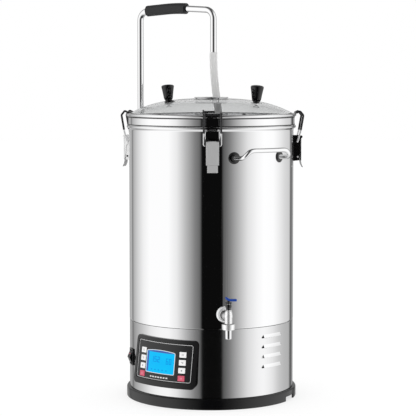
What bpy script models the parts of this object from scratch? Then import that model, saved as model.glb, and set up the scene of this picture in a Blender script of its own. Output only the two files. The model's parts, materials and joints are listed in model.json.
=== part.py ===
"""Electric all-in-one brewing kettle, as an assembly of separate pieces.

Sizes are in millimetres and are scaled to metres as each mesh is made. The origin is the centre of
the base's underside and +Z is up. The front is -Y. An azimuth is an angle in degrees round the
vessel's axis, counted from the front towards +X. A piece on the wall is modelled as if it stood at
the front, facing -Y, and its object is then turned to its azimuth.
"""
import math

import bmesh
import bpy
from mathutils import Matrix, Vector

MM = 0.001
GAP = 0.3
ROUND = 40

# Vessel and base
VESSEL_RADIUS = 160.0
WALL = 1.2
SEAM_HEIGHT = 151.0
BEAD_RADIUS = 164.7
BEAD_HEIGHT = 525.9
BAND_RADIUS = 162.0
RIM_HEIGHT = 544.8
SHELL_RADIUS = 159.6
RING_RADIUS = 165.5
RING_HEIGHT = 20.0
NOTCH_AZIMUTH = 67.0
NOTCH_SIZE = (41.0, 9.0)
LOUVRE_HEIGHTS = (134.0, 115.0, 96.0, 77.0)
LOUVRE_START = 37.0
LOUVRE_END = 57.0
WALL_FACE = VESSEL_RADIUS + GAP
SHELL_FACE = SHELL_RADIUS + GAP

# Malt pipe
MALT_RADIUS = 140.0
MALT_FOOT = SEAM_HEIGHT + GAP + WALL + GAP
MALT_SCREEN_HEIGHT = 178.0
MALT_TOP = 512.0

# Lid
LID_EDGE_RADIUS = 157.0
LID_EDGE_HEIGHT = 552.0
LID_RISE = 28.0
GLASS = 3.0
LID_BEAD_RADIUS = 3.0
LID_BEAD_CENTRE = (162.5, 548.3)
COLLAR_RADIUS = 33.4
COLLAR_HOLE = 28.0
KNOB_OFFSET = (85.0, -77.0)
KNOB_FOOT_HEIGHT = 571.6
KNOB_TILT = 5.0

# Latches: the lever's pivot, the bail's pivot and the hook bar, as (radius, height)
LATCHES = {"front": 0.6, "right": 94.0, "back": 180.0, "left": -105.0}
LEVER_PIVOT = (175.0, 505.0)
BAIL_PIVOT = (167.0, 495.0)
HOOK_BAR = (165.7, 552.2)
LEVER_WIDTH = 24.0
BRACKET_WIDTH = 20.4
BAIL_WIDTH = 35.6
BAIL_WIRE = 1.75

# Handles
HANDLES = {"front": 34.0, "rear": -150.0}
HANDLE_SPAN = 18.85
HANDLE_POST_HEIGHT = 471.5
HANDLE_BAR_HEIGHT = 486.0
HANDLE_REACH = 190.0
HANDLE_ROD = 4.25
HANDLE_FLANGE = 11.2

# Recirculation: pump, riser and swivelling arm stand on one line of azimuth
ARM_AZIMUTH = -125.2
ARM_RADIUS = 173.4
ARM_HEIGHT = 751.2
ARM_CAMBER = 5.6
ARM_REACH = 178.4
ARM_BEND = 19.0
ARM_END_HEIGHT = 670.0
PIPE = 6.0
PIPE_BORE = 4.6
GRIP = 10.75
COUPLING_HEIGHT = 416.0
VALVE_HEIGHT = 143.0
VALVE_HALF = 15.0
PUMP_RADIUS = 100.0
PUMP_HEIGHT = 99.0
HOSE = 7.2
HOSE_ROUTE = (
    (4.1, -2.9, 669.6),
    (4.2, -3.0, 654.0),
    (5.2, -3.3, 630.0),
    (7.4, -4.0, 606.0),
    (10.0, -5.0, 582.0),
    (13.6, -6.5, 556.0),
    (17.0, -8.0, 526.0),
    (19.0, -9.0, 492.0),
)

# Tap
TAP_AZIMUTH = 8.6
TAP_HEIGHT = 180.0
TAP_RADIUS = 208.0
TAP_BODY = 7.4
TAP_NECK = 7.2
TAP_HOUSING = 9.6
TAP_BORE = 4.5
TAP_TOP = 206.4
TAP_BOTTOM = 169.5

# Controller
PANEL_START = -58.8
PANEL_END = -9.2
PANEL_LOW = 41.0
PANEL_HIGH = 131.0
PANEL_RADIUS_LOW = 175.5
PANEL_RADIUS_HIGH = 162.5
PANEL_MIDDLE = -34.0
PANEL_DROOP = 0.05
PANEL_LIFT = -0.3
FACE_START = -56.2
FACE_END = -12.1
FACE_LOW = 51.5
FACE_HIGH = 124.0
FACE_RECESS = 0.8
FACE_THICKNESS = 1.8
LCD_START = -46.7
LCD_END = -24.5
LCD_LOW = 65.7
LCD_HIGH = 104.9
LCD_ARCH = 3.0
BUTTON_AZIMUTHS = {"left": -49.9, "right": -19.0}
BUTTON_HEIGHTS = (104.2, 89.6, 75.0, 60.6)
BUTTON_SIZE = (13.5, 10.5)
BUTTON_PROUD = 1.2

# Rocker switch, inlet and control board
SWITCH_AZIMUTH = -74.0
SWITCH_HEIGHT = 81.0
SWITCH_SIZE = (25.0, 32.0)
ROCKER_PIVOT_RADIUS = 156.9
INLET_AZIMUTH = 180.0
INLET_HEIGHT = 62.0
BOARD_AZIMUTH = -33.4
BOARD_RADIUS = 138.0


def clear_scene():
    for obj in list(bpy.data.objects):
        bpy.data.objects.remove(obj, do_unlink=True)


def material(name, colour, roughness, metallic=0.0):
    made = bpy.data.materials.new(name)
    made.use_nodes = True
    shader = made.node_tree.nodes["Principled BSDF"]
    shader.inputs["Base Color"].default_value = (*colour, 1.0)
    shader.inputs["Roughness"].default_value = roughness
    shader.inputs["Metallic"].default_value = metallic
    made.diffuse_color = (*colour, 1.0)
    return made


# --- shapes, each a bmesh in millimetres -----------------------------------------------------------

def lathe(outline, steps=ROUND):
    """A body turned about Z from a closed outline of (radius, height) points."""
    bm = bmesh.new()
    rings = []
    for radius, height in outline:
        count = steps if radius > 0 else 1
        angles = [math.tau * i / count for i in range(count)]
        rings.append([
            bm.verts.new((radius * math.cos(a), radius * math.sin(a), height)) for a in angles
        ])
    for ring, following in zip(rings, rings[1:] + rings[:1]):
        if len(ring) == 1 and len(following) == 1:
            continue
        for i in range(steps):
            j = (i + 1) % steps
            corners = (
                ring[i % len(ring)],
                ring[j % len(ring)],
                following[j % len(following)],
                following[i % len(following)],
            )
            bm.faces.new(tuple(dict.fromkeys(corners)))
    return bm


def tangents(path):
    ends = [path[0]] + path + [path[-1]]
    return [(after - before).normalized() for before, after in zip(ends, ends[2:])]


def sweep(points, radius, sides=12, bore=0.0):
    """A round rod along a path, or a tube where it has a bore."""
    bm = bmesh.new()
    path = [Vector(p) for p in points]
    side = tangents(path)[0].orthogonal().normalized()
    outer = []
    inner = []
    for point, tangent in zip(path, tangents(path)):
        side = (side - side.dot(tangent) * tangent).normalized()
        up = tangent.cross(side)
        spokes = [
            side * math.cos(math.tau * i / sides) + up * math.sin(math.tau * i / sides)
            for i in range(sides)
        ]
        outer.append([bm.verts.new(point + spoke * radius) for spoke in spokes])
        if bore:
            inner.append([bm.verts.new(point + spoke * bore) for spoke in spokes])

    def skin(rings):
        for ring, following in zip(rings, rings[1:]):
            for i in range(sides):
                j = (i + 1) % sides
                bm.faces.new((ring[i], ring[j], following[j], following[i]))

    skin(outer)
    if bore:
        skin(inner)
        skin((outer[0], inner[0]))
        skin((outer[-1], inner[-1]))
    else:
        bm.faces.new(outer[0])
        bm.faces.new(outer[-1])
    return bm


def rounded(corners, radii, steps=6):
    """The path through some corners, with an arc in place of each inner corner."""
    corners = [Vector(c) for c in corners]
    path = [corners[0]]
    for before, corner, after, radius in zip(corners, corners[1:], corners[2:], radii):
        back = (before - corner).normalized()
        ahead = (after - corner).normalized()
        half = back.angle(ahead) / 2
        centre = corner + (back + ahead).normalized() * radius / math.sin(half)
        start = corner + back * radius / math.tan(half) - centre
        end = corner + ahead * radius / math.tan(half) - centre
        for i in range(steps + 1):
            path.append(centre + start.slerp(end, i / steps).normalized() * radius)
    path.append(corners[-1])
    return path


def smooth_path(points, steps):
    """Points along a Catmull-Rom curve through the given ones."""
    points = [Vector(p) for p in points]
    ends = [2 * points[0] - points[1]] + points + [2 * points[-1] - points[-2]]
    path = []
    for a, b, c, d in zip(ends, ends[1:], ends[2:], ends[3:]):
        for i in range(steps):
            t = i / steps
            path.append(0.5 * (
                2 * b + (c - a) * t + (2 * a - 5 * b + 4 * c - d) * t ** 2
                + (3 * b - a - 3 * c + d) * t ** 3
            ))
    path.append(points[-1])
    return path


def block(size, centre=(0, 0, 0), bevel=0.0):
    bm = bmesh.new()
    bmesh.ops.create_cube(
        bm, size=1.0, matrix=Matrix.Translation(centre) @ Matrix.Diagonal((*size, 1.0))
    )
    if bevel:
        bmesh.ops.bevel(bm, geom=bm.edges[:], offset=bevel, segments=1, affect="EDGES")
    return bm


def prism(outline, low, high, point):
    """An outline (u, v) extruded from low to high; point(u, v, w) gives a corner's place."""
    bm = bmesh.new()
    rings = [[bm.verts.new(point(u, v, w)) for u, v in outline] for w in (low, high)]
    for i in range(len(outline)):
        j = (i + 1) % len(outline)
        bm.faces.new((rings[0][i], rings[0][j], rings[1][j], rings[1][i]))
    bm.faces.new(rings[0])
    bm.faces.new(rings[1])
    return bm


def side_prism(profile, left, right, pivot=(0.0, 0.0)):
    """A side view (radius, height) extruded across the front, about a pivot."""
    return prism(
        profile, left, right, lambda r, z, x: (x, pivot[0] - r, z - pivot[1])
    )


def arc_slab(
    start, end, low, high, back, front, corner=0.0, arch=0.0, columns=12, bend=None,
):
    """A panel bent round the vessel's axis. back and front are radii as functions of height."""
    middle = math.radians((start + end) / 2)
    half = math.radians((end - start) / 2)
    reach = corner / front((low + high) / 2)
    if corner:
        turns = [math.pi / 8 * i for i in range(5)]
        left = [(-half + reach * (1 - math.cos(t)), corner * (1 - math.sin(t))) for t in turns]
    else:
        left = [(-half, 0.0)]
    inner = half - reach
    between = [(inner * (2 * i / columns - 1), 0.0) for i in range(1, columns)]
    right = [(-angle, inset) for angle, inset in reversed(left)]
    bm = bmesh.new()
    rings = []
    for angle, inset in left + between + right:
        top = high - inset + arch * (1 - (angle / half) ** 2)
        corners = []
        for radius, height in (
            (back, low + inset), (back, top), (front, top), (front, low + inset)
        ):
            reach_out = radius(height)
            turn = middle + angle
            if bend:
                azimuth, height = bend(math.degrees(turn), height)
                turn = math.radians(azimuth)
            corners.append(bm.verts.new(
                (reach_out * math.sin(turn), -reach_out * math.cos(turn), height)
            ))
        rings.append(corners)
    for ring, following in zip(rings, rings[1:]):
        for i in range(4):
            j = (i + 1) % 4
            bm.faces.new((ring[i], ring[j], following[j], following[i]))
    bm.faces.new(rings[0])
    bm.faces.new(rings[-1])
    return bm


def radius_of(value):
    return lambda height: value


# --- objects --------------------------------------------------------------------------------------

def place(name, bm, finish, origin=(0, 0, 0), azimuth=0.0, tilt=0.0, lean=0.0):
    """Turn a bmesh into an object. origin is its place before it turns to its azimuth."""
    bmesh.ops.recalc_face_normals(bm, faces=bm.faces[:])
    bm.transform(Matrix.Scale(MM, 4))
    mesh = bpy.data.meshes.new(name)
    bm.to_mesh(mesh)
    bm.free()
    mesh.shade_smooth()
    mesh.set_sharp_from_angle(angle=math.radians(32))
    obj = bpy.data.objects.new(name, mesh)
    turn = Matrix.Rotation(math.radians(azimuth), 4, "Z")
    obj.location = turn @ Vector(origin) * MM
    obj.rotation_euler = (math.radians(tilt), math.radians(lean), math.radians(azimuth))
    mesh.materials.append(finish)
    bpy.context.collection.objects.link(obj)
    return obj


def combine(obj, bm, operation="DIFFERENCE", **where):
    """Cut a shape out of an object, or join one to it with UNION."""
    guide = place(f"{obj.name}_guide_{len(obj.modifiers)}", bm, obj.data.materials[0], **where)
    guide.hide_render = True
    guide.display_type = "WIRE"
    modifier = obj.modifiers.new(operation.title(), "BOOLEAN")
    modifier.operation = operation
    modifier.solver = "EXACT"
    modifier.object = guide


def rod(radius_start, radius_end, height, thick, sides=24):
    """A cutter or pin that lies along the outward line at the front."""
    return sweep([(0, -radius_start, height), (0, -radius_end, height)], thick, sides)


# --- the vessel and its base ----------------------------------------------------------------------

def make_vessel(steel):
    bottom = SEAM_HEIGHT + GAP
    floor = bottom + WALL
    inner = VESSEL_RADIUS - WALL
    outline = [
        (0, bottom), (VESSEL_RADIUS - 0.8, bottom), (VESSEL_RADIUS, bottom + 0.8),
        (VESSEL_RADIUS, 521.8), (BEAD_RADIUS, BEAD_HEIGHT - 1.5), (BEAD_RADIUS, BEAD_HEIGHT + 1.5),
        (BAND_RADIUS, 529.0), (BAND_RADIUS, RIM_HEIGHT), (BAND_RADIUS - WALL, RIM_HEIGHT),
        (BAND_RADIUS - WALL, 528.0), (inner, 522.0), (inner, floor), (0, floor),
    ]
    vessel = place("kettle_vessel", lathe(outline), steel)
    combine(vessel, rod(150, 170, TAP_HEIGHT, TAP_NECK + GAP), azimuth=TAP_AZIMUTH)
    for x, y, radius in ((*pump_place(), PIPE + GAP), (*PROBE_PLACE, PROBE_RADIUS + GAP)):
        combine(vessel, sweep([(x, y, bottom - 5), (x, y, floor + 5)], radius, 16))
    return vessel


def make_base(brushed, plastic, dark_steel):
    inner = SHELL_RADIUS - WALL
    low = RING_HEIGHT + GAP
    outline = [
        (SHELL_RADIUS, low), (SHELL_RADIUS, SEAM_HEIGHT), (147, SEAM_HEIGHT),
        (147, SEAM_HEIGHT - WALL), (inner, SEAM_HEIGHT - WALL), (inner, low + WALL),
        (150, low + WALL), (150, low),
    ]
    shell = place("base_shell", lathe(outline), brushed)
    combine(shell, arc_slab(-51.8, -14.8, 53, 112, radius_of(150), radius_of(165), 3))
    width, height = SWITCH_SIZE
    combine(
        shell, block((width - 2, 20, height - 2), (0, -SHELL_RADIUS, SWITCH_HEIGHT)),
        azimuth=SWITCH_AZIMUTH,
    )
    combine(shell, block((33, 20, 25), (0, -SHELL_RADIUS, INLET_HEIGHT)), azimuth=INLET_AZIMUTH)
    combine(shell, rod(150, 165, PUMP_HEIGHT, PIPE + GAP), azimuth=ARM_AZIMUTH)
    for height in LOUVRE_HEIGHTS:
        add_louvre(shell, height)
    ring = [
        (162.0, 0), (164.2, 0), (RING_RADIUS, 1.5), (RING_RADIUS, RING_HEIGHT - 3.5),
        (RING_RADIUS - 3.5, RING_HEIGHT),
        (145, RING_HEIGHT), (145, RING_HEIGHT - 3), (162.0, RING_HEIGHT - 3),
    ]
    base_ring = place("base_ring", lathe(ring), plastic)
    wide, tall = NOTCH_SIZE
    for azimuth in (NOTCH_AZIMUTH, NOTCH_AZIMUTH - 180):
        notch = block((wide, 20, tall * 2), (0, -RING_RADIUS, 0))
        combine(base_ring, notch, azimuth=azimuth)
    plate = [(0, 0), (161.6, 0), (161.6, 3), (0, 3)]
    base_plate = place("base_plate", lathe(plate), dark_steel)
    for side in (-1, 1):
        combine(base_plate, block((40, 220, 20), (side * 158.5, 0, 0)))


def add_louvre(shell, height):
    """A pressed hood that stands proud of the shell and opens downwards."""
    def hood(z):
        return SHELL_RADIUS + 0.2 + 2.6 * (height + 3.5 - z) / 7.0

    def hollow(z):
        return hood(z) - 1.0

    combine(shell, arc_slab(
        LOUVRE_START, LOUVRE_END, height - 3.5, height + 3.5, radius_of(SHELL_RADIUS - 1.1),
        hood, columns=5,
    ), "UNION")
    combine(shell, arc_slab(
        LOUVRE_START + 0.5, LOUVRE_END - 0.5, height - 5, height + 0.6, radius_of(155), hollow,
        columns=5,
    ))


def make_malt_pipe(steel):
    inner = MALT_RADIUS - 1.0
    screen = MALT_SCREEN_HEIGHT
    outline = [
        (MALT_RADIUS, MALT_FOOT), (MALT_RADIUS, MALT_TOP), (inner, MALT_TOP), (inner, screen),
        (inner - 8, screen), (inner - 8, screen - 1.5), (inner, screen - 1.5), (inner, MALT_FOOT),
    ]
    pipe = place("malt_pipe", lathe(outline, 32), steel)
    for azimuth in (0, 60, 120):
        combine(pipe, block((70, 300, 24), (0, 0, MALT_FOOT)), azimuth=azimuth)
    low = screen + GAP
    disc = [(0, low), (inner - GAP, low), (inner - GAP, low + 1.5), (0, low + 1.5)]
    place("malt_pipe_screen", lathe(disc, 32), steel)


# --- heating, pump and electrics ------------------------------------------------------------------

PROBE_PLACE = (95.0, 40.0)
PROBE_RADIUS = 3.0


def pump_place():
    turn = math.radians(ARM_AZIMUTH)
    return PUMP_RADIUS * math.sin(turn), -PUMP_RADIUS * math.cos(turn)


def make_heating(plate_metal, steel):
    top = SEAM_HEIGHT
    outline = [(0, top - 6), (70, top - 6), (72, top - 4), (72, top), (0, top)]
    place("heating_plate", lathe(outline, 32), plate_metal)
    x, y = PROBE_PLACE
    probe = sweep([(x, y, top - 14), (x, y, top + 16)], PROBE_RADIUS, 10)
    place("temperature_probe", probe, steel)


def make_pump(plastic, motor_metal, white, steel):
    x, y = pump_place()
    origin = (0, -PUMP_RADIUS, PUMP_HEIGHT)
    where = {"origin": origin, "azimuth": ARM_AZIMUTH}
    outline = [
        (0, -13), (28, -13), (28, 13), (8, 13), (8, 21), (PIPE_BORE, 21), (PIPE_BORE, 10),
        (24, 10), (24, -10), (0, -10),
    ]
    housing = place("pump_housing", lathe(outline, 24), plastic, **where)
    combine(housing, sweep([(0, -20, 0), (0, -35, 0)], PIPE_BORE, 12), **where)
    motor = [
        (0, 3.3), (30, 3.3), (30, 6.5), (24, 6.5), (24, PUMP_HEIGHT - 14), (22, PUMP_HEIGHT - 13.3),
        (0, PUMP_HEIGHT - 13.3),
    ]
    place("pump_motor", lathe(motor, 20), motor_metal, (0, -PUMP_RADIUS, 0), ARM_AZIMUTH)
    blades = []
    for i in range(6):
        for turn, radius in ((0, 7), (26, 21), (33, 21), (34, 7)):
            angle = math.radians(60 * i + turn)
            blades.append((radius * math.cos(angle), radius * math.sin(angle)))
    impeller = prism(blades, -8.0, 6.0, lambda u, v, w: (u, v, w))
    place("pump_impeller", impeller, white, **where)
    top = PUMP_HEIGHT + 21 + GAP
    inlet = sweep([(x, y, top), (x, y, SEAM_HEIGHT + 2)], PIPE, 12, PIPE_BORE)
    place("pump_inlet_pipe", inlet, steel)
    start = PUMP_RADIUS + 28 + GAP
    low = VALVE_HEIGHT - VALVE_HALF - GAP
    route = rounded([
        (0, -start, PUMP_HEIGHT), (0, -ARM_RADIUS, PUMP_HEIGHT), (0, -ARM_RADIUS, low)
    ], [14], 4)
    place("pump_outlet_pipe", sweep(route, PIPE, 10, PIPE_BORE), steel, azimuth=ARM_AZIMUTH)


def make_electrics(black, red, board_green):
    width, height = SWITCH_SIZE
    front = SHELL_FACE + 2.0
    frame = place(
        "switch_frame",
        block((width, 2.0, height), (0, -SHELL_FACE - 1.0, SWITCH_HEIGHT), 0.5),
        black, azimuth=SWITCH_AZIMUTH,
    )
    body = block((width - 2.8, 20, height - 2.8), (0, -SHELL_FACE + 8.5, SWITCH_HEIGHT))
    combine(frame, body, "UNION", azimuth=SWITCH_AZIMUTH)
    opening = block((18.8, 20, 26.8), (0, -front + 6, SWITCH_HEIGHT))
    combine(frame, opening, azimuth=SWITCH_AZIMUTH)
    profile = [(-6, -4), (1, -11.4), (6, -11.4), (10.4, -1), (5, 11.4), (1, 11.4), (-6, 4)]
    pivot = (0, -ROCKER_PIVOT_RADIUS, SWITCH_HEIGHT)
    rocker = side_prism(profile, -9.0, 9.0)
    place("power_rocker", rocker, red, pivot, SWITCH_AZIMUTH)

    flange = block((50, 2.5, 28), (0, -SHELL_FACE - 1.25, INLET_HEIGHT), 0.8)
    inlet = place("power_inlet", flange, black, azimuth=INLET_AZIMUTH)
    body = block((31, 26, 23), (0, -SHELL_FACE + 11, INLET_HEIGHT))
    combine(inlet, body, "UNION", azimuth=INLET_AZIMUTH)
    recess = block((25, 30, 17), (0, -SHELL_FACE - 4, INLET_HEIGHT))
    combine(inlet, recess, azimuth=INLET_AZIMUTH)
    for x, z in ((-7, -2.5), (0, 2.5), (7, -2.5)):
        pin = block((2, 16, 4), (x, -SHELL_FACE + 7, INLET_HEIGHT + z))
        combine(inlet, pin, "UNION", azimuth=INLET_AZIMUTH)

    board = block((70, 1.6, 50), (0, -BOARD_RADIUS, 84))
    board = place("control_board", board, board_green, azimuth=BOARD_AZIMUTH)
    parts = block((30, 14, 24), (8, -BOARD_RADIUS + 7, 80))
    combine(board, parts, "UNION", azimuth=BOARD_AZIMUTH)


# --- controller -----------------------------------------------------------------------------------

def panel_front(height):
    """Radius of the tilted housing's outer face."""
    share = (height - PANEL_LOW) / (PANEL_HIGH - PANEL_LOW)
    return PANEL_RADIUS_LOW + share * (PANEL_RADIUS_HIGH - PANEL_RADIUS_LOW)


def panel_place(azimuth, height):
    """The panel keeps its width over its height, and sits slightly lower towards its right."""
    middle = panel_front((PANEL_LOW + PANEL_HIGH) / 2)
    aside = (azimuth - PANEL_MIDDLE) * middle / panel_front(height)
    return PANEL_MIDDLE + aside, height + PANEL_LIFT - PANEL_DROOP * aside


def panel_slab(*sizes, **more):
    return arc_slab(*sizes, bend=panel_place, **more)


def face_front(height):
    return panel_front(height) - FACE_RECESS


def face_back(height):
    return face_front(height) - FACE_THICKNESS


def make_controller(plastic, face_black, lcd_blue, white, red):
    housing = place("controller_housing", panel_slab(
        PANEL_START, PANEL_END, PANEL_LOW, PANEL_HIGH, radius_of(SHELL_FACE), panel_front, 9
    ), plastic)
    combine(housing, panel_slab(
        FACE_START - 0.13, FACE_END + 0.13, FACE_LOW - 0.35, FACE_HIGH + 0.35,
        radius_of(150), radius_of(185), 5,
    ))
    face = place("control_faceplate", panel_slab(
        FACE_START, FACE_END, FACE_LOW, FACE_HIGH, face_back, face_front, 4.6
    ), face_black)
    combine(face, panel_slab(
        LCD_START - 0.13, LCD_END + 0.13, LCD_LOW - 0.35, LCD_HIGH + 0.35,
        radius_of(150), radius_of(185), 2, LCD_ARCH, 6,
    ))
    place("lcd_screen", panel_slab(
        LCD_START, LCD_END, LCD_LOW, LCD_HIGH, face_back, lambda z: face_front(z) - 0.4,
        1.8, LCD_ARCH, 6,
    ), lcd_blue)
    slope = (PANEL_RADIUS_LOW - PANEL_RADIUS_HIGH) / (PANEL_HIGH - PANEL_LOW)
    tilt = -math.degrees(math.atan(slope))
    wide, tall = BUTTON_SIZE
    for side, azimuth in BUTTON_AZIMUTHS.items():
        for row, height in enumerate(BUTTON_HEIGHTS, 1):
            turn, level = panel_place(azimuth, height)
            where = {"origin": (0, -face_front(height), level), "azimuth": turn, "tilt": tilt}
            combine(face, block((wide + 0.8, 12, tall + 0.8)), **where)
            cap = block((wide, BUTTON_PROUD + 3.0, tall), (0, 1.5 - BUTTON_PROUD / 2, 0), 0.7)
            finish = red if row == len(BUTTON_HEIGHTS) else white
            place(f"button_{side}_{row}", cap, finish, **where)


# --- tap ------------------------------------------------------------------------------------------

def make_tap(chrome, blue):
    flange = [
        (TAP_NECK + GAP, 0), (15.2, 0), (15.2, 1.8), (12.6, 4.2), (TAP_NECK + GAP, 4.2)
    ]
    where = {"azimuth": TAP_AZIMUTH, "tilt": 90}
    place("tap_flange", lathe(flange, 20), chrome, (0, -WALL_FACE - 0.2, TAP_HEIGHT), **where)
    body = [
        (0, TAP_BOTTOM), (TAP_BODY, TAP_BOTTOM), (TAP_BODY, 188), (6.8, 192), (4.9, 195.5),
        (4.9, TAP_TOP), (0, TAP_TOP),
    ]
    origin = (0, -TAP_RADIUS, 0)
    tap = place("tap_body", lathe(body, 24), chrome, origin, TAP_AZIMUTH)
    combine(tap, rod(146, TAP_RADIUS, TAP_HEIGHT, TAP_NECK), "UNION", azimuth=TAP_AZIMUTH)
    combine(tap, rod(168, 193, TAP_HEIGHT, TAP_HOUSING, 20), "UNION", azimuth=TAP_AZIMUTH)
    combine(tap, rod(144, TAP_RADIUS, TAP_HEIGHT, TAP_BORE, 12), azimuth=TAP_AZIMUTH)
    bore = sweep([(0, 0, TAP_BOTTOM - 5), (0, 0, TAP_HEIGHT + 4)], TAP_BORE - 0.2, 12)
    combine(tap, bore, origin=origin, azimuth=TAP_AZIMUTH)

    hub = TAP_TOP + GAP
    lever_origin = (0, -TAP_RADIUS, hub)
    knob = [(0, 0), (6.4, 0), (6.4, 2.4), (3.2, 2.8), (3.2, 6.6), (0, 6.6)]
    lever = place("tap_lever", lathe(knob, 16), blue, lever_origin, TAP_AZIMUTH)
    profile = [
        (-6.2, 8.4), (-3.0, 6.4), (0.5, 4.8), (4, 4.2), (15.4, 4.2), (16, 5.6), (15.4, 7.1),
        (4, 7.2), (1.5, 8.0), (-2.5, 9.8), (-5.4, 11.4),
    ]
    arm = prism(profile, -4.6, 4.6, lambda u, v, w: (u, w, v))
    combine(lever, arm, "UNION", origin=lever_origin, azimuth=TAP_AZIMUTH)

    nut_low, nut_high = 158.2, TAP_BOTTOM - GAP
    nut = [
        (6.8, nut_low), (11.4, nut_low), (12.4, nut_low + 1), (12.4, nut_high - 1),
        (11.4, nut_high), (6.8, nut_high),
    ]
    place("tap_hose_nut", lathe(nut, 20), chrome, origin, TAP_AZIMUTH)
    spout = [
        (TAP_BORE, 141), (5.7, 141), (6.45, 142), (6.45, nut_high), (TAP_BORE, nut_high)
    ]
    place("tap_spout", lathe(spout, 16), chrome, origin, TAP_AZIMUTH)
    lock = [(TAP_NECK + 0.8, 0), (13, 0), (13, 6), (TAP_NECK + 0.8, 6)]
    inner = VESSEL_RADIUS - WALL - 7.0
    place("tap_lock_nut", lathe(lock, 12), chrome, (0, -inner, TAP_HEIGHT), **where)


# --- recirculation --------------------------------------------------------------------------------

def make_riser(steel, blue):
    where = {"azimuth": ARM_AZIMUTH}
    axis = (0, -ARM_RADIUS)
    low, high = VALVE_HEIGHT - VALVE_HALF, VALVE_HEIGHT + VALVE_HALF
    valve = sweep([(*axis, low), (*axis, high)], 10.5, 16, PIPE_BORE)
    valve = place("recirculation_valve", valve, steel, **where)
    boss = rod(ARM_RADIUS + 8, ARM_RADIUS + 13, VALVE_HEIGHT, 6.5, 16)
    combine(valve, boss, "UNION", **where)
    stem = (0, -ARM_RADIUS - 13 - GAP, VALVE_HEIGHT)
    hub = sweep([(0, 0, 0), (0, -5, 0)], 7.0, 16)
    lever = place("recirculation_valve_lever", hub, blue, stem, ARM_AZIMUTH)
    handle = block((8, 3, 42), (0, -3.2, 20), 0.8)
    combine(lever, handle, "UNION", origin=stem, azimuth=ARM_AZIMUTH)
    riser = sweep([(*axis, high + GAP), (*axis, COUPLING_HEIGHT)], PIPE, 12, PIPE_BORE)
    place("recirculation_riser", riser, steel, **where)
    nut = sweep(
        [(*axis, COUPLING_HEIGHT - 14), (*axis, COUPLING_HEIGHT + 14)], 9.5, 12, PIPE + GAP
    )
    place("pipe_coupling_nut", nut, steel, **where)


def make_arm(steel, rubber, silicone):
    low = COUPLING_HEIGHT + GAP
    top = ARM_HEIGHT - low
    route = rounded([
        (0, 0, 0), (0, 0, top), (0, ARM_REACH / 2, top + ARM_CAMBER), (0, ARM_REACH, top),
        (0, ARM_REACH, ARM_END_HEIGHT - low),
    ], [ARM_BEND, 400, ARM_BEND], 4)
    where = {"origin": (0, -ARM_RADIUS, low), "azimuth": ARM_AZIMUTH}
    place("recirculation_pipe", sweep(route, PIPE, 8, PIPE_BORE), steel, **where)
    run = route[5:12]
    place("pipe_grip", sweep(run, GRIP, 10, PIPE + GAP + 0.5), rubber, **where)

    curve = bpy.data.curves.new("recirculation_hose", "CURVE")
    curve.dimensions = "3D"
    curve.bevel_depth = HOSE * MM
    curve.bevel_resolution = 2
    curve.render_resolution_u = 0
    curve.use_fill_caps = True
    path = smooth_path(HOSE_ROUTE, 2)
    spline = curve.splines.new("POLY")
    spline.points.add(len(path) - 1)
    for point, place_mm in zip(spline.points, path):
        point.co = (*(place_mm * MM), 1.0)
    curve.materials.append(silicone)
    hose = bpy.data.objects.new("recirculation_hose", curve)
    bpy.context.collection.objects.link(hose)


# --- lid ------------------------------------------------------------------------------------------

def dome(radius):
    return LID_EDGE_HEIGHT + LID_RISE * (1 - (radius / LID_EDGE_RADIUS) ** 3)


def make_lid(glass, steel, black):
    hole, edge = COLLAR_HOLE + 2.6, 159.0
    radii = [hole + (edge - hole) * (i / 5) ** 0.8 for i in range(6)]
    ledge = LID_BEAD_CENTRE[1] + 0.5
    outline = [(r, dome(r)) for r in radii]
    outline += [(r, max(dome(r) - GLASS, ledge)) for r in reversed(radii)]
    lid = place("glass_lid", lathe(outline), glass)

    centre_r, centre_z = LID_BEAD_CENTRE
    bead = []
    for i in range(5):
        turn = math.radians(-90 + 45 * i)
        bead.append((
            centre_r + LID_BEAD_RADIUS * math.cos(turn),
            centre_z + LID_BEAD_RADIUS * math.sin(turn),
        ))
    low = RIM_HEIGHT + GAP
    band = [(153, low), (161.5, low)] + bead + [
        (160.2, centre_z + 2.2), (edge + GAP, ledge - GAP), (153, ledge - GAP)
    ]
    place("lid_rim_band", lathe(band), steel)

    top = dome(COLLAR_RADIUS) + 0.45
    low = top - 8.3
    collar = [
        (COLLAR_HOLE, low), (COLLAR_RADIUS, low), (COLLAR_RADIUS, low + 1.6),
        (hole - GAP, low + 1.6), (hole - GAP, top), (COLLAR_RADIUS, top),
        (COLLAR_RADIUS, top + 1.5), (COLLAR_RADIUS - 0.6, top + 2.1), (COLLAR_HOLE, top + 2.1),
    ]
    place("lid_collar", lathe(collar, 24), steel)

    stud = 2.6
    knob = [
        (0, -8.2), (6.0, -8.2), (6.0, -6.9), (stud, -6.9), (stud, 0), (10.5, 0), (10.5, 1.2),
        (5.8, 1.6), (9.0, 7), (10.6, 19), (12.6, 31), (8.5, 34), (0, 34.9),
    ]
    for side, sign in (("right", 1), ("left", -1)):
        x, y = (sign * value for value in KNOB_OFFSET)
        azimuth = math.degrees(math.atan2(x, -y))
        reach = math.hypot(x, y)
        where = {
            "origin": (0, -reach, KNOB_FOOT_HEIGHT), "azimuth": azimuth, "tilt": KNOB_TILT
        }
        place(f"lid_knob_{side}", lathe(knob, 16), black, **where)
        combine(lid, sweep([(0, 0, -15), (0, 0, 10)], stud + 0.5, 12), **where)


# --- latches and handles --------------------------------------------------------------------------

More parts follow.
